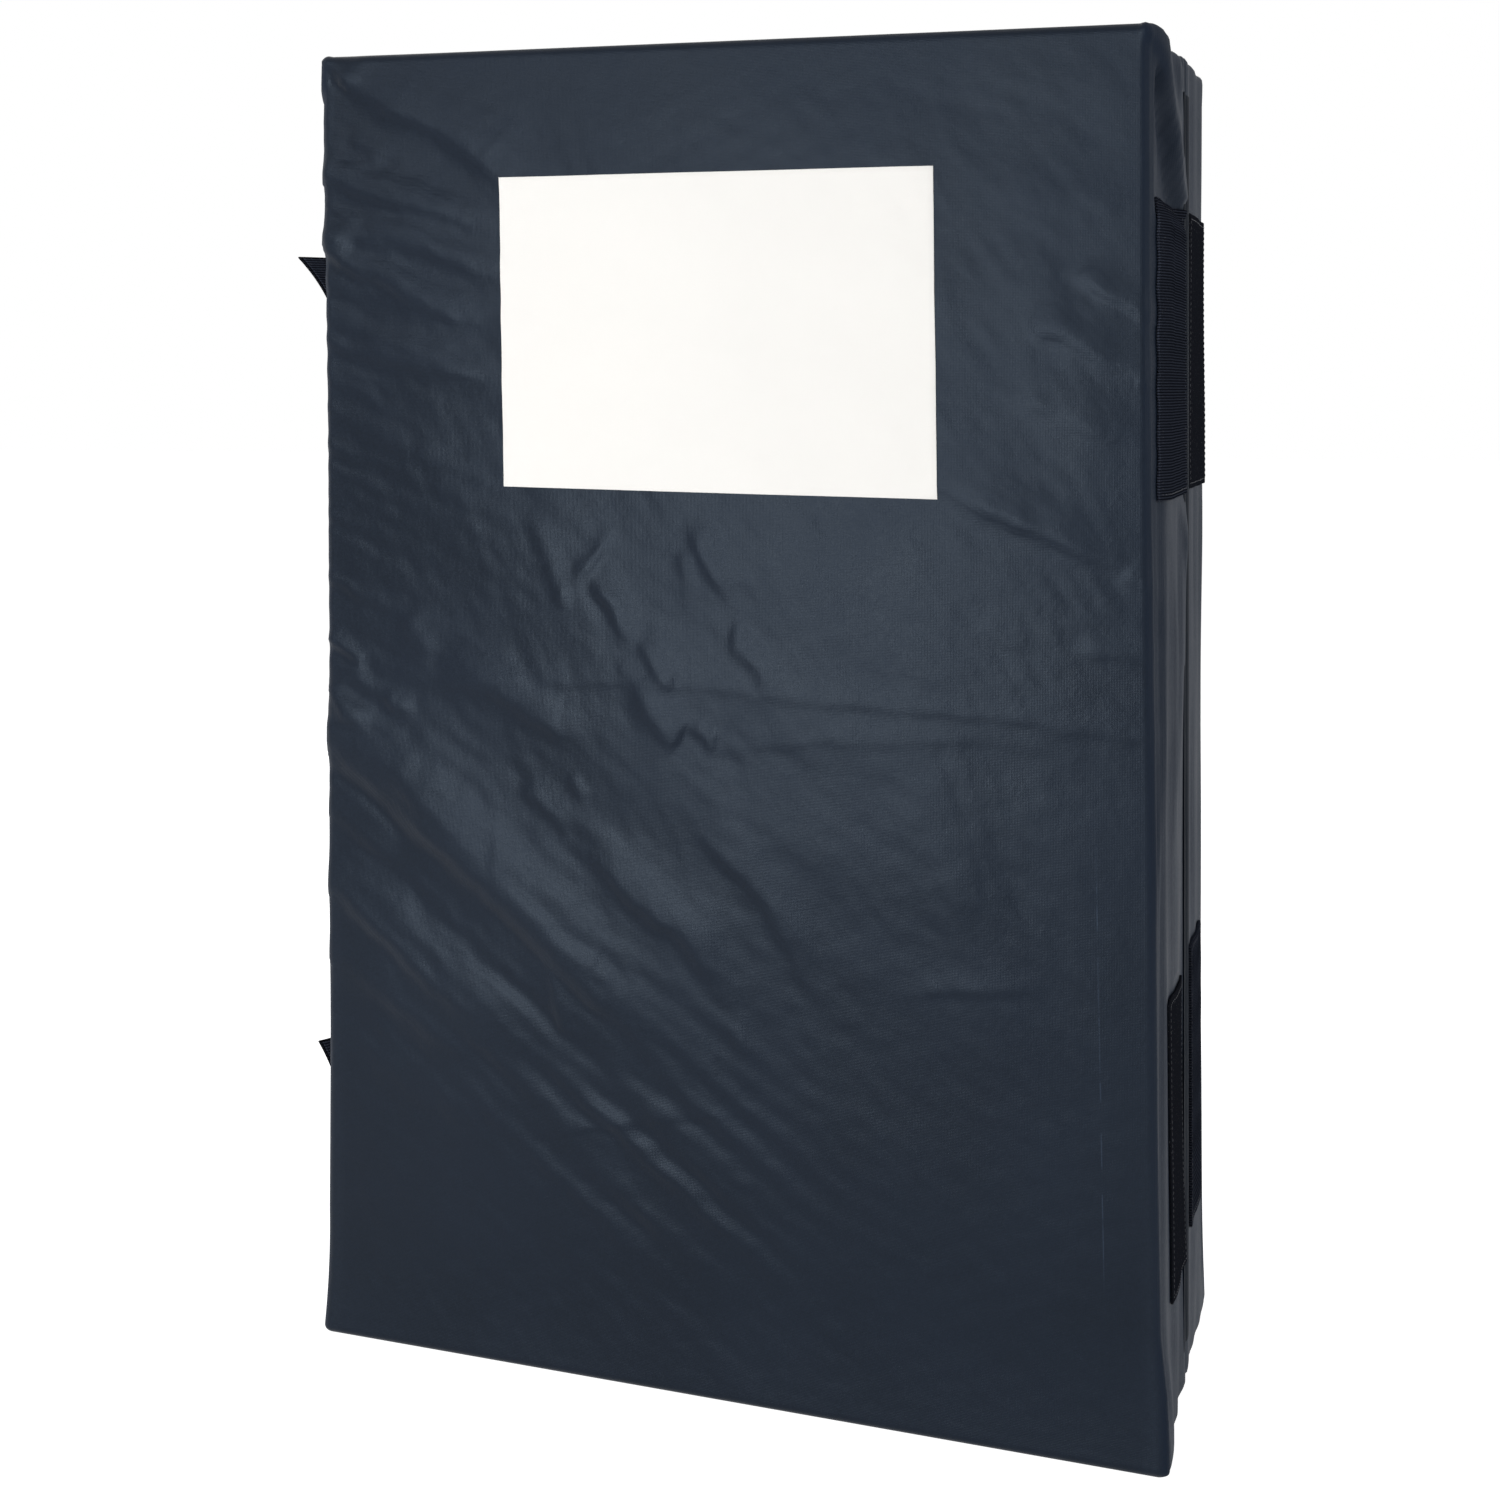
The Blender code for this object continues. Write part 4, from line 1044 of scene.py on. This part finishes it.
    def ear(self, y: Places, z: Places, depth: Places) -> Places:
        """The slack gather at the spine side's top corner: hollow ahead of a line, full behind it.

        Args:
            y: Places through the pad.
            z: Places up the wall.
            depth: Each place's depth behind the outer face.

        Returns:
            The lift of each place, below zero in the hollow.
        """
        past = y - np.interp(z, self.ear_heights, self.ear_line)
        hollow = self.ear_hollow * ease(-past / 0.018) * ease((depth - 0.009) / 0.010)
        crest = self.ear_crest * bell(past - 0.006, np.where(past > 0.006, 0.026, 0.009))
        return (crest - hollow) * ease((z - self.ear_heights[0]) / 0.030)

    def wall_lift(self, places: Places, side: Places, wander: Places, depth: Places) -> Places:
        """How far the side walls' cloth stands out.

        Args:
            places: Where each point is.
            side: How squarely it faces sideways.
            wander: How far the folds wander there.
            depth: Its depth behind the outer face.

        Returns:
            The lift of each place.
        """
        x, y, z = places.T
        wall = lift_of(self.spine_folds, y, z + wander, (side > 0.3) & (x > 0))
        if self.spine_folds:
            wall += self.ear(y, z, depth)
        wall += self.foot * bell(depth - 0.034, 0.026) * ease((0.075 - z) / 0.06) * (x > 0)
        wall += 0.0015 * waviness(y, z * 0.18, self.seed + 5, 0.10, 0.030, math.pi / 2)
        wall -= 0.0030 * bell(depth - 0.016, 0.007) * ease(np.minimum(z, PAD_HEIGHT - z) / 0.06)
        under_tape = (within(z, 0.085, 0.335, 0.01) + within(z, 0.660, 0.895, 0.01)) * (x > 0)
        highest = self.wall_out - (self.wall_out - self.under_tape) * under_tape
        return np.clip(wall, -self.deepest, highest)

    def crease(self, mesh: bpy.types.Mesh, depth: Places) -> None:
        """Lay folds, seams and waves in the cloth, and note where it rubs.

        Args:
            mesh: The stuffed half.
            depth: Each point's depth behind the outer face.
        """
        places, normals = read_places(mesh), read_places(mesh, "normal")
        x, _, z = places.T
        facing_out = np.clip(normals[:, 1] * self.outward, 0.0, 1.0)
        facing_in = np.clip(-normals[:, 1] * self.outward, 0.0, 1.0)
        facing_side = np.abs(normals[:, 0])
        wander_x, wander_z = (self.wander * waviness(x, z, self.seed + step, 0.07, 0.02, 0.4)
                              for step in (1, 2))
        folds = self.relief * lift_of(self.folds, x + wander_x, z + wander_z, facing_out > 0.05)
        if self.folds:
            folds += facing_out * self.gathers(x + wander_x, z + wander_z)
        calm = ease(np.minimum(HALF_WIDTH - np.abs(x), np.minimum(z, PAD_HEIGHT - z)) / 0.05)
        waves = self.waves * waviness(x, z, self.seed, 0.30, 0.06, -0.7)
        waves *= 1 - 0.6 * ease((0.30 - z) / 0.2)
        ripples = self.ripples * waviness(x, z, self.seed + 3, 0.045, 0.014, -0.8)
        slack = self.slack * (1 + waviness(x, z, self.seed + 4, 0.25, 0.08, 0.3)) * calm
        rise = facing_out * (folds + (0.25 + 0.75 * calm) * (waves + ripples)) - facing_in * slack
        rise += facing_side * self.wall_lift(places, facing_side, wander_z, depth)

        # Seams: a groove beside a welt at the outer edge, and a groove at the inner one.
        around = np.clip(1 - facing_out - facing_in, 0.0, 1.0)
        welt = bell(depth - self.welt, 0.0018)
        rise += around * (0.0006 * welt - 0.0011 * bell(depth - self.seam, 0.0011)
                          - 0.0009 * bell(depth - (HALF_THICKNESS - self.seam), 0.0012))
        places += normals * (rise * ease(z / 0.004))[:, None]
        places[:, 2] = np.maximum(places[:, 2], 0.0)
        write_places(mesh, places)

        ridge = np.clip(folds / 0.004, 0.0, 1.0) * facing_out * 0.35
        corner = bell(np.abs(x) - HALF_WIDTH + 0.006, 0.006) * (facing_out > 0.2)
        rub = np.clip(ridge + 0.5 * corner + 0.6 * welt * around, 0.0, 1.0)
        # rub marks worn places; wall marks the side walls, which get more roughness and a painted
        # reflection colour.
        for name, value in (("rub", rub), ("wall", ease(facing_side * 1.6 - 0.3))):
            layer = mesh.attributes.new(name, "FLOAT", "POINT")
            layer.data.foreach_set("value", value.astype(np.float32))


# Pieces sewn on the halves.
class Face(Enum):
    """A face of the pad: the way it faces, and its own right."""

    FRONT = ((0.0, -1.0, 0.0), (1.0, 0.0, 0.0))
    BACK = ((0.0, 1.0, 0.0), (-1.0, 0.0, 0.0))
    SPINE = ((1.0, 0.0, 0.0), (0.0, 1.0, 0.0))
    OPEN = ((-1.0, 0.0, 0.0), (0.0, -1.0, 0.0))


@dataclass
class SewnPiece:
    """A flat piece that lies on a half's cloth and follows it."""

    name: str
    node: str
    half: PaddedHalf
    face: Face
    centre: Triple
    width: float
    height: float
    thickness: float
    slot: str
    lift: float = 0.0002
    corner: float = 0.0
    rib: float = 0.0
    rib_height: float = 0.0004
    scallop: float = 0.0
    lean: float = 0.0
    shear: float = 0.0
    scallop_wave: float = 0.0055
    step: float = 0.0050
    inset: float = 0.0040
    seam_step: float = 0.006
    reach: float = 0.06
    sewn: bool = True

    def seat(self, right: float, up: float, raised: float = 0.0) -> Vector:
        """The place on the cloth at one place of the flat piece.

        Args:
            right: Distance right of the middle.
            up: Distance above the middle.
            raised: Height above the cloth.

        Returns:
            The place.
        """
        out, along = map(Vector, self.face.value)
        slant = self.shear * up / self.height
        flat = Vector(self.centre) + along * (right + slant) + Vector((0, 0, up))
        flat.z -= self.lean * right
        hit = self.half.surface.ray_cast(flat + out * self.reach, -out)[0]
        if hit is None:
            raise ValueError(self.name + " has no cloth under it")
        return hit + out * (self.lift + raised)

    def point(self, u: float, v: float) -> Vector:
        """Where a point of the piece goes, with its round corner, scalloped edge and rib.

        Args:
            u: Its share of the half width, -1 to 1.
            v: Its share of the half height.

        Returns:
            The place.
        """
        right, up = u * self.width / 2, v * self.height / 2
        if self.corner:
            right, up = self.round_corner(right, up)
        right += math.copysign(self.scallop * abs(u) ** 6, u) * math.sin(
            up / self.scallop_wave)
        ridge = 0.0
        if self.rib and abs(v) < 0.99:
            coarse = self.rib * (1.0 if up > -0.25 * self.height else 1.9)
            ridge = self.rib_height * (0.5 + 0.5 * math.sin(2 * math.pi * up / coarse))
        return self.seat(right, up, ridge)

    def round_corner(self, right: float, up: float) -> Point:
        """Pull a point near a corner in to a round one.

        Args:
            right: Its distance right of the middle.
            up: Its distance above the middle.

        Returns:
            The new distances.
        """
        limit = Vector((self.width / 2 - self.corner, self.height / 2 - self.corner))
        off = Vector((max(abs(right) - limit.x, 0.0), max(abs(up) - limit.y, 0.0)))
        if off.x > 0 and off.y > 0:
            off = off.normalized() * max(off)
            right = math.copysign(limit.x + off.x, right)
            up = math.copysign(limit.y + off.y, up)
        return right, up

    def build(self) -> Piece:
        """Lay the piece on the cloth, thicken it, dress it and sew it down round its edge.

        Returns:
            The piece.
        """
        columns, rows = (max(4, round(length / step)) for length, step in (
            (self.width, self.step), (self.height, self.rib / 4 or self.step)))
        piece = draw_sheet(self.name, columns, rows, self.point, self.thickness)
        round_off(piece, min(0.0006, self.thickness * 0.3), 2, 60)
        dress(piece, self.half.sewing.body, self.slot, self.slot, self.node)
        if self.sewn:
            self.half.sewing.row(self.sewn_line(), Vector(self.face.value[0]))
        return piece

    def sewn_line(self) -> list[Vector]:
        """Points of the row of sewing, a little inside the edge."""
        route = []
        corners = ((-1, -1), (1, -1), (1, 1), (-1, 1), (-1, -1))
        for (u0, v0), (u1, v1) in zip(corners, corners[1:]):
            span = math.hypot((u1 - u0) * self.width, (v1 - v0) * self.height) / 2
            steps = max(2, round(span / self.seam_step))
            for step in range(steps + 1):
                t = step / steps
                right = (u0 + (u1 - u0) * t) * (self.width / 2 - self.inset)
                up = (v0 + (v1 - v0) * t) * (self.height / 2 - self.inset)
                route.append(self.seat(right, up, self.thickness + 0.0001))
        return route


# Flaps, hinge, zips and harness.
@dataclass
class ClosingFlap:
    """A closing flap: one sheet from its seam on the rear half to its peeled free corner."""

    level: str
    height_z: float
    peel: float
    height: float = 0.074
    thickness: float = 0.0018
    seam_y: float = -0.030
    sewn: float = 0.055
    front_edge: float = -0.1735
    peel_length: float = 0.075
    stand_off: float = 0.0037
    rise_length: float = 0.028
    hook_length: float = 0.080
    gap: float = 0.0003
    sway: float = 0.0005
    wall_x: float = -0.329

    def out_of_wall(self, y: float, lift: float) -> float:
        """How far the sheet's inner face stands off the open wall.

        Args:
            y: Place along the flap.
            lift: Share of its height, from 0 at the lower edge to 1.

        Returns:
            The distance.
        """
        rise = ease((CREASE_Y + self.rise_length / 2 - y) / self.rise_length)
        reach = max(1 - (y - self.front_edge) / self.peel_length, 0.0)
        return self.gap + (self.stand_off - self.gap) * rise + self.peel * (reach * lift) ** 2

    def lay(self, name: str, ends: Point, margin: float, inward: float,
            thickness: float) -> Piece:
        """Model one layer of the flap on its bent line.

        Args:
            name: The layer's name.
            ends: Where it starts and ends, as places along y.
            margin: How far it stays inside the flap's upper and lower edges.
            inward: How far its outer face lies inside the flap's inner face.
            thickness: The layer's thickness.

        Returns:
            The layer.
        """
        def place(u: float, v: float) -> Vector:
            """Where a point of the layer goes."""
            y = ends[0] + (ends[1] - ends[0]) * (u + 1) / 2
            z = self.height_z + v * (self.height / 2 - margin)
            sway = self.sway * math.sin(y * 90 + z * 40) * ease((self.seam_y - y) / 0.05)
            lift = (z - self.height_z) / self.height + 0.5
            out = self.out_of_wall(min(y, self.seam_y), lift) + sway - inward
            return Vector((-HALF_WIDTH - out, y, z))

        layer = draw_sheet(name, 64, 24, place, thickness)
        round_off(layer, min(0.0005, thickness * 0.3), 2, 60)
        return layer

    def build(self) -> None:
        """Model the sheet and its hook lining, and dress them."""
        flap = self.lay(self.level + "_flap_cloth", (self.seam_y + self.sewn, self.front_edge), 0.0,
                        0.0, self.thickness)
        dress(flap, None, "flap_webbing", "flap_weave", self.level + "_closing_flap",
              self.level + "_flap_anchor")
        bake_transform(flap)
        lining = self.lay(self.level + "_flap_hook_lining",
                          (self.front_edge + self.hook_length, self.front_edge + 0.0015), 0.0015,
                          0.0010, 0.0009)
        dress(lining, self.level + "_flap", "hook_tape", "hook_tape",
              self.level + "_flap_hook_tape")


@dataclass
class ClothHinge:
    """The strip of cloth that joins the two halves down the spine, sunk a little in the crease."""

    low: float = 0.030
    high: float = 0.970
    reach: float = 0.0147
    thickness: float = 0.0008
    seat: float = 0.0002
    sink: float = 0.0016
    sway: float = 0.0003
    bend: float = 0.004

    def place(self, u: float, v: float) -> Vector:
        """Where a point of the strip goes.

        Args:
            u: Its share of the half width, -1 to 1.
            v: Its share of the half height.

        Returns:
            The place.
        """
        y = CREASE_Y + u * self.reach
        z = self.low + (self.high - self.low) * (v + 1) / 2
        sway = self.sway * math.sin(z * 61) * math.sin(z * 23 + 1) * (1 - abs(u))
        sink = self.sink * bell(y - CREASE_Y, 0.005)
        return Vector((HALF_WIDTH + self.seat - sink + sway, y, z))

    def build(self) -> None:
        """Model the strip, sunk in the crease, and dress it."""
        strip = draw_sheet("spine_hinge_cloth", 16, 220, self.place, self.thickness)
        round_off(strip, 0.0002, 1, 60)
        dress(strip, None, "hinge_cloth", "hinge_cloth", "rear_hinge_leaf", "front_hinge_leaf")
        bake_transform(strip)


@dataclass
class ZipRun:
    """The zip in one half's top: tape, coil, slider and pull tab."""

    side: str
    centre_y: float
    length: float = 0.560
    width: float = 0.0205
    pitch: float = 0.0017
    off_centre: float = 0.0019
    coil_height: float = 0.0013
    tape_thickness: float = 0.0006
    ripple: float = 0.00015

    def build(self) -> None:
        """Model and dress the zip's pieces."""
        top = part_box(self.side + "_zip_tape")[1][2]

        def place(u: float, v: float) -> Vector:
            """Where a point of the tape goes."""
            x = u * (self.length / 2 + 0.006)
            z = top - self.tape_thickness + self.ripple * math.sin(x * 140) * abs(v)
            return Vector((x, self.centre_y + v * self.width / 2, z))

        body = self.side + "_half"
        tape = draw_sheet(self.side + "_zip_tape_cloth", 160, 8, place, self.tape_thickness)
        dress(tape, body, "zip_tape", "zip_tape_weave", self.side + "_zip_tape")
        turns = [(np.eye(3), np.array((-self.length / 2 + (turn + 0.5 + 0.25 * row) * self.pitch,
                                       self.centre_y + row * self.off_centre,
                                       top + self.coil_height)))
                 for turn in range(int(self.length / self.pitch)) for row in (-1, 1)]
        coil = row_of_beads(self.side + "_zip_coil", 5, (self.pitch * 0.72, 0.0056, 0.0024), turns)
        dress(coil, body, "zip_teeth", "zip_coil_nylon", self.side + "_zip_teeth")
        for part in (self.side + "_zip_slider", self.side + "_zip_pull"):
            refined(part, "metal", (0.0004, 3, 40), part, "zip_metal", "zip_enamel")


@dataclass
class ShoulderStrap:
    """A padded shoulder strap with bound edges, sewn to the yoke at its top."""

    side: str
    sign: int
    seat_y: float
    width: float = 0.065
    thickness: float = 0.014
    edge: float = 0.0045
    top_z: float = 0.830
    length: float = 0.400
    bow: float = 0.050
    top_x: float = 0.080
    bottom_x: float = 0.150
    drops: tuple[float, ...] = (0.0, 0.12, 0.24, 0.42, 0.62, 0.88, 1.0)
    bows: tuple[float, ...] = (0.0, 0.0, 0.30, 0.86, 1.0, 0.70, 0.70)
    steps: int = 14
    ring: int = 32
    crowned: float = 0.86
    groove: float = 0.0012
    groove_at: float = 0.80
    nose: float = 0.010
    quilt: float = 0.10
    quilt_pitch: float = 0.085

    def route(self) -> list[Vector]:
        """Middle line of the strap, from its top end down."""
        wide = self.bottom_x - self.top_x
        return smooth_route([(self.sign * (self.top_x + wide * ease(drop)),
                              self.seat_y + self.thickness / 2 + self.bow * bow,
                              self.top_z - self.length * drop)
                             for drop, bow in zip(self.drops, self.bows)], self.steps)

    def build(self) -> None:
        """Draw a divided cylinder along the route as a crowned strap."""
        route = self.route()
        levels = len(route)
        take_up()
        bpy.ops.mesh.primitive_cylinder_add(vertices=self.ring, radius=1, depth=2,
                                            end_fill_type="NGON")
        strap = named(self.side + "_shoulder_strap_padded")
        bpy.ops.object.mode_set(mode="EDIT")
        cut_upright_edges(strap, levels - 2)
        for vert in strap.data.vertices:
            level = round((1 - vert.co.z) / 2 * (levels - 1))
            way = route[min(level + 1, levels - 1)] - route[max(level - 1, 0)]
            angle = math.atan2(vert.co.y, vert.co.x)
            vert.co = route[level] + self.section(angle, abs(route[0].z - route[level].z), way)
        strap.data.update()
        turn_outwards(strap)
        bpy.ops.object.shade_smooth_by_angle(angle=math.radians(60))
        dress(strap, "rear_half", "strap_padding", "strap_cloth", self.side + "_shoulder_strap")

    def section(self, angle: float, travelled: float, way: Vector) -> Vector:
        """A point of the strap's section: thin bound edges, a crowned middle and quilting.

        Args:
            angle: Its angle round the section.
            travelled: How far down the strap the section is.
            way: The way the strap runs there.

        Returns:
            Its place from the middle line.
        """
        across = Vector((1, 0, 0))
        out = across.cross(way).normalized()
        if out.y < 0:
            out = -out
        a = math.copysign(abs(math.cos(angle)) ** 0.8, math.cos(angle))
        left = min(travelled, self.length - travelled)
        nose = math.sqrt(max(0.02, 1 - max(0.0, 1 - left / self.nose) ** 2))
        sewn = 0.62 + 0.38 * ease((travelled - 0.05) / 0.04)
        crown = max(1 - abs(a / self.crowned) ** 4, 0.0)
        swell = 0.5 * self.edge + 0.5 * (self.thickness - self.edge) * crown * sewn
        height = (swell - self.groove * bell(abs(a) - self.groove_at, 0.035)) * nose
        side = 0.0 if abs(math.sin(angle)) < 0.01 else math.copysign(1.0, angle)
        from_row = travelled % self.quilt_pitch - self.quilt_pitch / 2
        quilt = 1 - self.quilt * bell(from_row, 0.004) * (crown > 0)
        return across * (a * self.width / 2) + out * float(side * height * quilt)


def smooth_route(points: Sequence[Triple], steps: int) -> list[Vector]:
    """A smooth curve through given points, no coordinate of which overshoots them.

    Args:
        points: The points.
        steps: Spans between each pair.

    Returns:
        The curve's points.
    """
    places = np.array(points)
    gaps = np.diff(places, axis=0)
    both = gaps[:-1] * gaps[1:]
    slopes = np.divide(2 * both, gaps[:-1] + gaps[1:], out=np.zeros(both.shape), where=both > 0)
    slopes = np.vstack((gaps[:1], slopes, gaps[-1:]))
    t = (np.arange(steps) / steps)[:, None]
    spans = [(2 * t ** 3 - 3 * t ** 2 + 1) * here + (t ** 3 - 2 * t ** 2 + t) * leave
             + (3 * t ** 2 - 2 * t ** 3) * there + (t ** 3 - t ** 2) * arrive
             for here, there, leave, arrive in zip(places, places[1:], slopes, slopes[1:])]
    return [Vector(place) for place in np.vstack((*spans, places[-1:]))]


@dataclass
class Harness:
    """Yoke, haul handle, shoulder straps with their locks and webbing, and the waist belt."""

    rear: PaddedHalf
    yoke: Point = (0.300, 0.215)

    def build(self) -> None:
        """Model and dress the whole harness."""
        yoke = self.patch("yoke_panel_cloth", "strap_yoke_panel", (0.0, 0.835), self.yoke, 0.018)
        for side, sign in (("left", -1), ("right", 1)):
            ShoulderStrap(side, sign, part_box(side + "_shoulder_strap")[0][1]).build()
            for part, x, z, height in (("_strap_anchor", 0.150, 0.265, 0.070),
                                       ("_belt_anchor", 0.2025, 0.165, 0.060)):
                node = side + part
                self.patch(node + "_cloth", node, (sign * x, z), (0.060, height), 0.006)
            refined(side + "_ladder_lock", "moulded", (0.0009, 3, 40), "rear_half",
                    "buckle_plastic", "buckle_moulding")
            self.strip(side + "_lock_loop", "rear_half", "webbing_upright")
            self.strip(side + "_adjuster_webbing", "rear_half", "webbing_upright")
        self.strip("left_waist_belt", "rear_half", "webbing_level")
        belt = self.strip("right_waist_belt", None, "webbing_level")
        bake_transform(belt)
        self.strip("haul_handle", "rear_half", "webbing_level")
        for node, body in (("buckle_socket", "rear_half"), ("buckle_plug", "buckle_plug")):
            refined(node, "moulded", (0.0012, 3, 40), body, "buckle_plastic", "buckle_moulding")

    def patch(self, name: str, node: str, centre: Point, size: Point, corner: float) -> Piece:
        """Sew one patch of darker cloth on the back, by its name, node, middle, size and corner."""
        return SewnPiece(name, node, self.rear, Face.BACK, (centre[0], BACK_Y, centre[1]), *size,
                         0.0012, "hinge_cloth", corner=corner).build()

    def strip(self, node: str, body: str | None, finish: str) -> Piece:
        """Finish one run of webbing from its CAD node, on its body or on none."""
        return refined(node, "woven", (0.0004, 2, 60), body, "harness_webbing", finish)


# Floor, lamps and camera.
@dataclass(frozen=True)
class Studio:
    """Plain pale floor and backdrop, soft lamps and the photograph's camera."""

    camera_place: Triple = (0.5016, -1.5561, 0.7498)
    yaw: float = 19.229
    pitch: float = -1.060
    roll: float = 0.224
    lens: float = 46.92
    shift_y: float = -0.2149
    world: float = 0.15
    floor_glow: float = 0.93
    floor_grey: float = 0.62
    lamps: tuple[tuple[str, Triple, Triple, Point, float], ...] = (
        ("key_lamp", (-0.5, -2.35, 0.52), (0.05, -0.2, 0.62), (0.4, 0.9), 27.0),
        ("top_lamp", (-0.3, -2.2, 1.55), (0.0, -0.2, 0.9), (2.8, 0.4), 18.5),
        ("back_lamp", (-0.45, 2.6, 1.5), (0.0, 0.1, 0.5), (1.6, 1.6), 46.0),
        ("side_lamp", (2.7, 0.6, 1.4), (0.3, 0.0, 0.5), (1.2, 1.4), 16.0),
    )

    def build(self) -> None:
        """Set up camera, lamps, floor and world."""
        self.place_camera()
        for lamp in self.lamps:
            self.hang_lamp(*lamp)
        self.lay_floor()
        self.light_world()
        bpy.context.scene.view_settings.view_transform = "Standard"

    def place_camera(self) -> None:
        """Put the camera where the photograph was taken from."""
        yaw, pitch, roll = (math.radians(a) for a in (self.yaw, self.pitch, self.roll))
        turned = (Matrix.Rotation(yaw, 3, "Z") @ Matrix.Rotation(pitch, 3, "X")
                  @ Matrix.Rotation(roll, 3, "Y"))
        right, forward, up = (turned @ Vector(axis) for axis in ((1, 0, 0), (0, 1, 0), (0, 0, 1)))
        matrix = Matrix((right, up, -forward)).transposed().to_4x4()
        matrix.translation = Vector(self.camera_place)
        data = bpy.data.cameras.new("photo_camera")
        data.lens = self.lens
        data.sensor_width = 36.0
        data.shift_y = self.shift_y
        camera = bpy.data.objects.new("photo_camera", data)
        camera.matrix_world = matrix
        bpy.context.scene.collection.objects.link(camera)
        bpy.context.scene.camera = camera

    def hang_lamp(self, name: str, place: Triple, aim: Triple, size: Point, power: float) -> None:
        """Hang one soft flat lamp.

        Args:
            name: The lamp's name.
            place: Where it hangs.
            aim: What it points at.
            size: Its width and height.
            power: Its power in watts.
        """
        data = bpy.data.lights.new(name, "AREA")
        data.shape = "RECTANGLE"
        data.size, data.size_y = size
        data.energy = power
        lamp = bpy.data.objects.new(name, data)
        lamp.location = place
        lamp.rotation_euler = (Vector(aim) - Vector(place)).to_track_quat("-Z", "Y").to_euler()
        bpy.context.scene.collection.objects.link(lamp)

    def lay_floor(self) -> None:
        """A pale floor that reads white to the camera but keeps the pad's shadow."""
        take_up()
        bpy.ops.mesh.primitive_plane_add(size=40, location=(0, 0, 0))
        floor = named("studio_floor")
        board = Board(bpy.data.materials.new("floor_paper"))
        grain = board.noise(3.0, 2.0)
        board.finish(Base_Color=board.tint(grain, (self.floor_grey,) * 3,
                                           (self.floor_grey + 0.02,) * 3),
                     Roughness=0.9, Specular_IOR_Level=0.0)
        glow = board.node("Emission", {"Color": (1, 1, 1), "Strength": board.times(
            board.seen(), self.floor_glow)})
        board.plug(board.node("AddShader", {0: board.shader.outputs[0], 1: glow}),
                   board.nodes["Material Output"].inputs["Surface"])
        floor.data.materials.append(board.owner)

    def light_world(self) -> None:
        """An even pale sky: white to the camera, dimmer as light."""
        world = bpy.context.scene.world = bpy.data.worlds.new("studio_world")
        board = Board(world, "Background")
        board.finish(Color=(1, 1, 1), Strength=board.reach(board.seen(), 0.0, 1.0, self.world, 1.0))


@dataclass
class CrashPad:
    """The whole pad, built sub-assembly by sub-assembly."""

    front: PaddedHalf = field(default_factory=lambda: PaddedHalf(
        "front", -HALF_PITCH, -1, 280, 420, 11, FRONT_FOLDS, SPINE_FOLDS, top_lean=0.0077,
        top_lift=0.0080, slump=0.0090, foot=0.0034, wall_out=0.0040,
        open_out=((0.0, 0.0030), (0.1, 0.0050), (0.5, 0.0060), (0.95, 0.0100), (1.0, 0.0080)),
        spine_out=((0.0, 0.0045), (0.055, 0.0040), (0.095, 0.0004), (0.34, 0.0004),
                   (0.5, 0.0008), (0.65, 0.0), (1.0, 0.0))))
    rear: PaddedHalf = field(default_factory=lambda: PaddedHalf(
        "rear", 0.0, 1, 130, 200, 23, top_lift=0.0030))
    panel: Point = (0.3393, 0.2357)
    rib: float = 0.0021

    def build(self) -> None:
        """Build every piece of the pad."""
        self.front.build()
        self.rear.build()
        self.build_panel()
        self.build_tapes()
        ClothHinge().build()
        for half in (self.rear, self.front):
            ZipRun(half.side, half.centre_y).build()
        Harness(self.rear).build()
        for half in (self.rear, self.front):
            half.sewing.build()

    def build_panel(self) -> None:
        """The bare off-white panel on the front face."""
        panel = SewnPiece("front_panel_film", "front_panel", self.front, Face.FRONT,
                          (0.0006, -0.2035, 0.7934), *self.panel, 0.0004, "panel_film",
                          lift=0.0003, lean=0.0148, shear=-0.0035, sewn=False).build()

    def build_tapes(self) -> None:
        """Hook and loop patches on the spine and the open side, and the closing flaps."""
        for half, place, kind, y, z, width, height, shear, scallop in (
                (self.front, "upper", "hook", -0.1350, 0.778, 0.108, 0.210, 0.0, 0.0008),
                (self.front, "lower", "loop", -0.1255, 0.208, 0.074, 0.222, -0.022, 0.0),
                (self.rear, "upper", "loop", -0.0035, 0.779, 0.098, 0.208, 0.0, 0.0004),
                (self.rear, "lower", "hook", -0.0120, 0.219, 0.078, 0.217, -0.006, 0.0006)):
            node = "_".join((half.side, "spine", kind, place))
            SewnPiece(node + "_tape", node, half, Face.SPINE, (HALF_WIDTH, y, z), width, height,
                      0.0020, kind + "_tape", scallop=scallop, shear=shear,
                      rib=self.rib if kind == "hook" else 0.0).build()
        for level, z, off, peel in (("upper", 0.830, -0.006, 0.038),
                                    ("lower", 0.180, 0.004, 0.025)):
            node = level + "_flap_loop_patch"
            SewnPiece(node + "_tape", node, self.front, Face.OPEN, (-HALF_WIDTH, -0.126, z), 0.085,
                      0.100, 0.0018, "loop_tape").build()
            ClosingFlap(level, z + off, peel).build()


def main() -> None:
    """Build the pad and its studio, and note the model's size."""
    logging.basicConfig(level=logging.INFO, format="%(name)s: %(message)s")
    CrashPad().build()
    Studio().build()


if __name__ == "__main__":
    main()
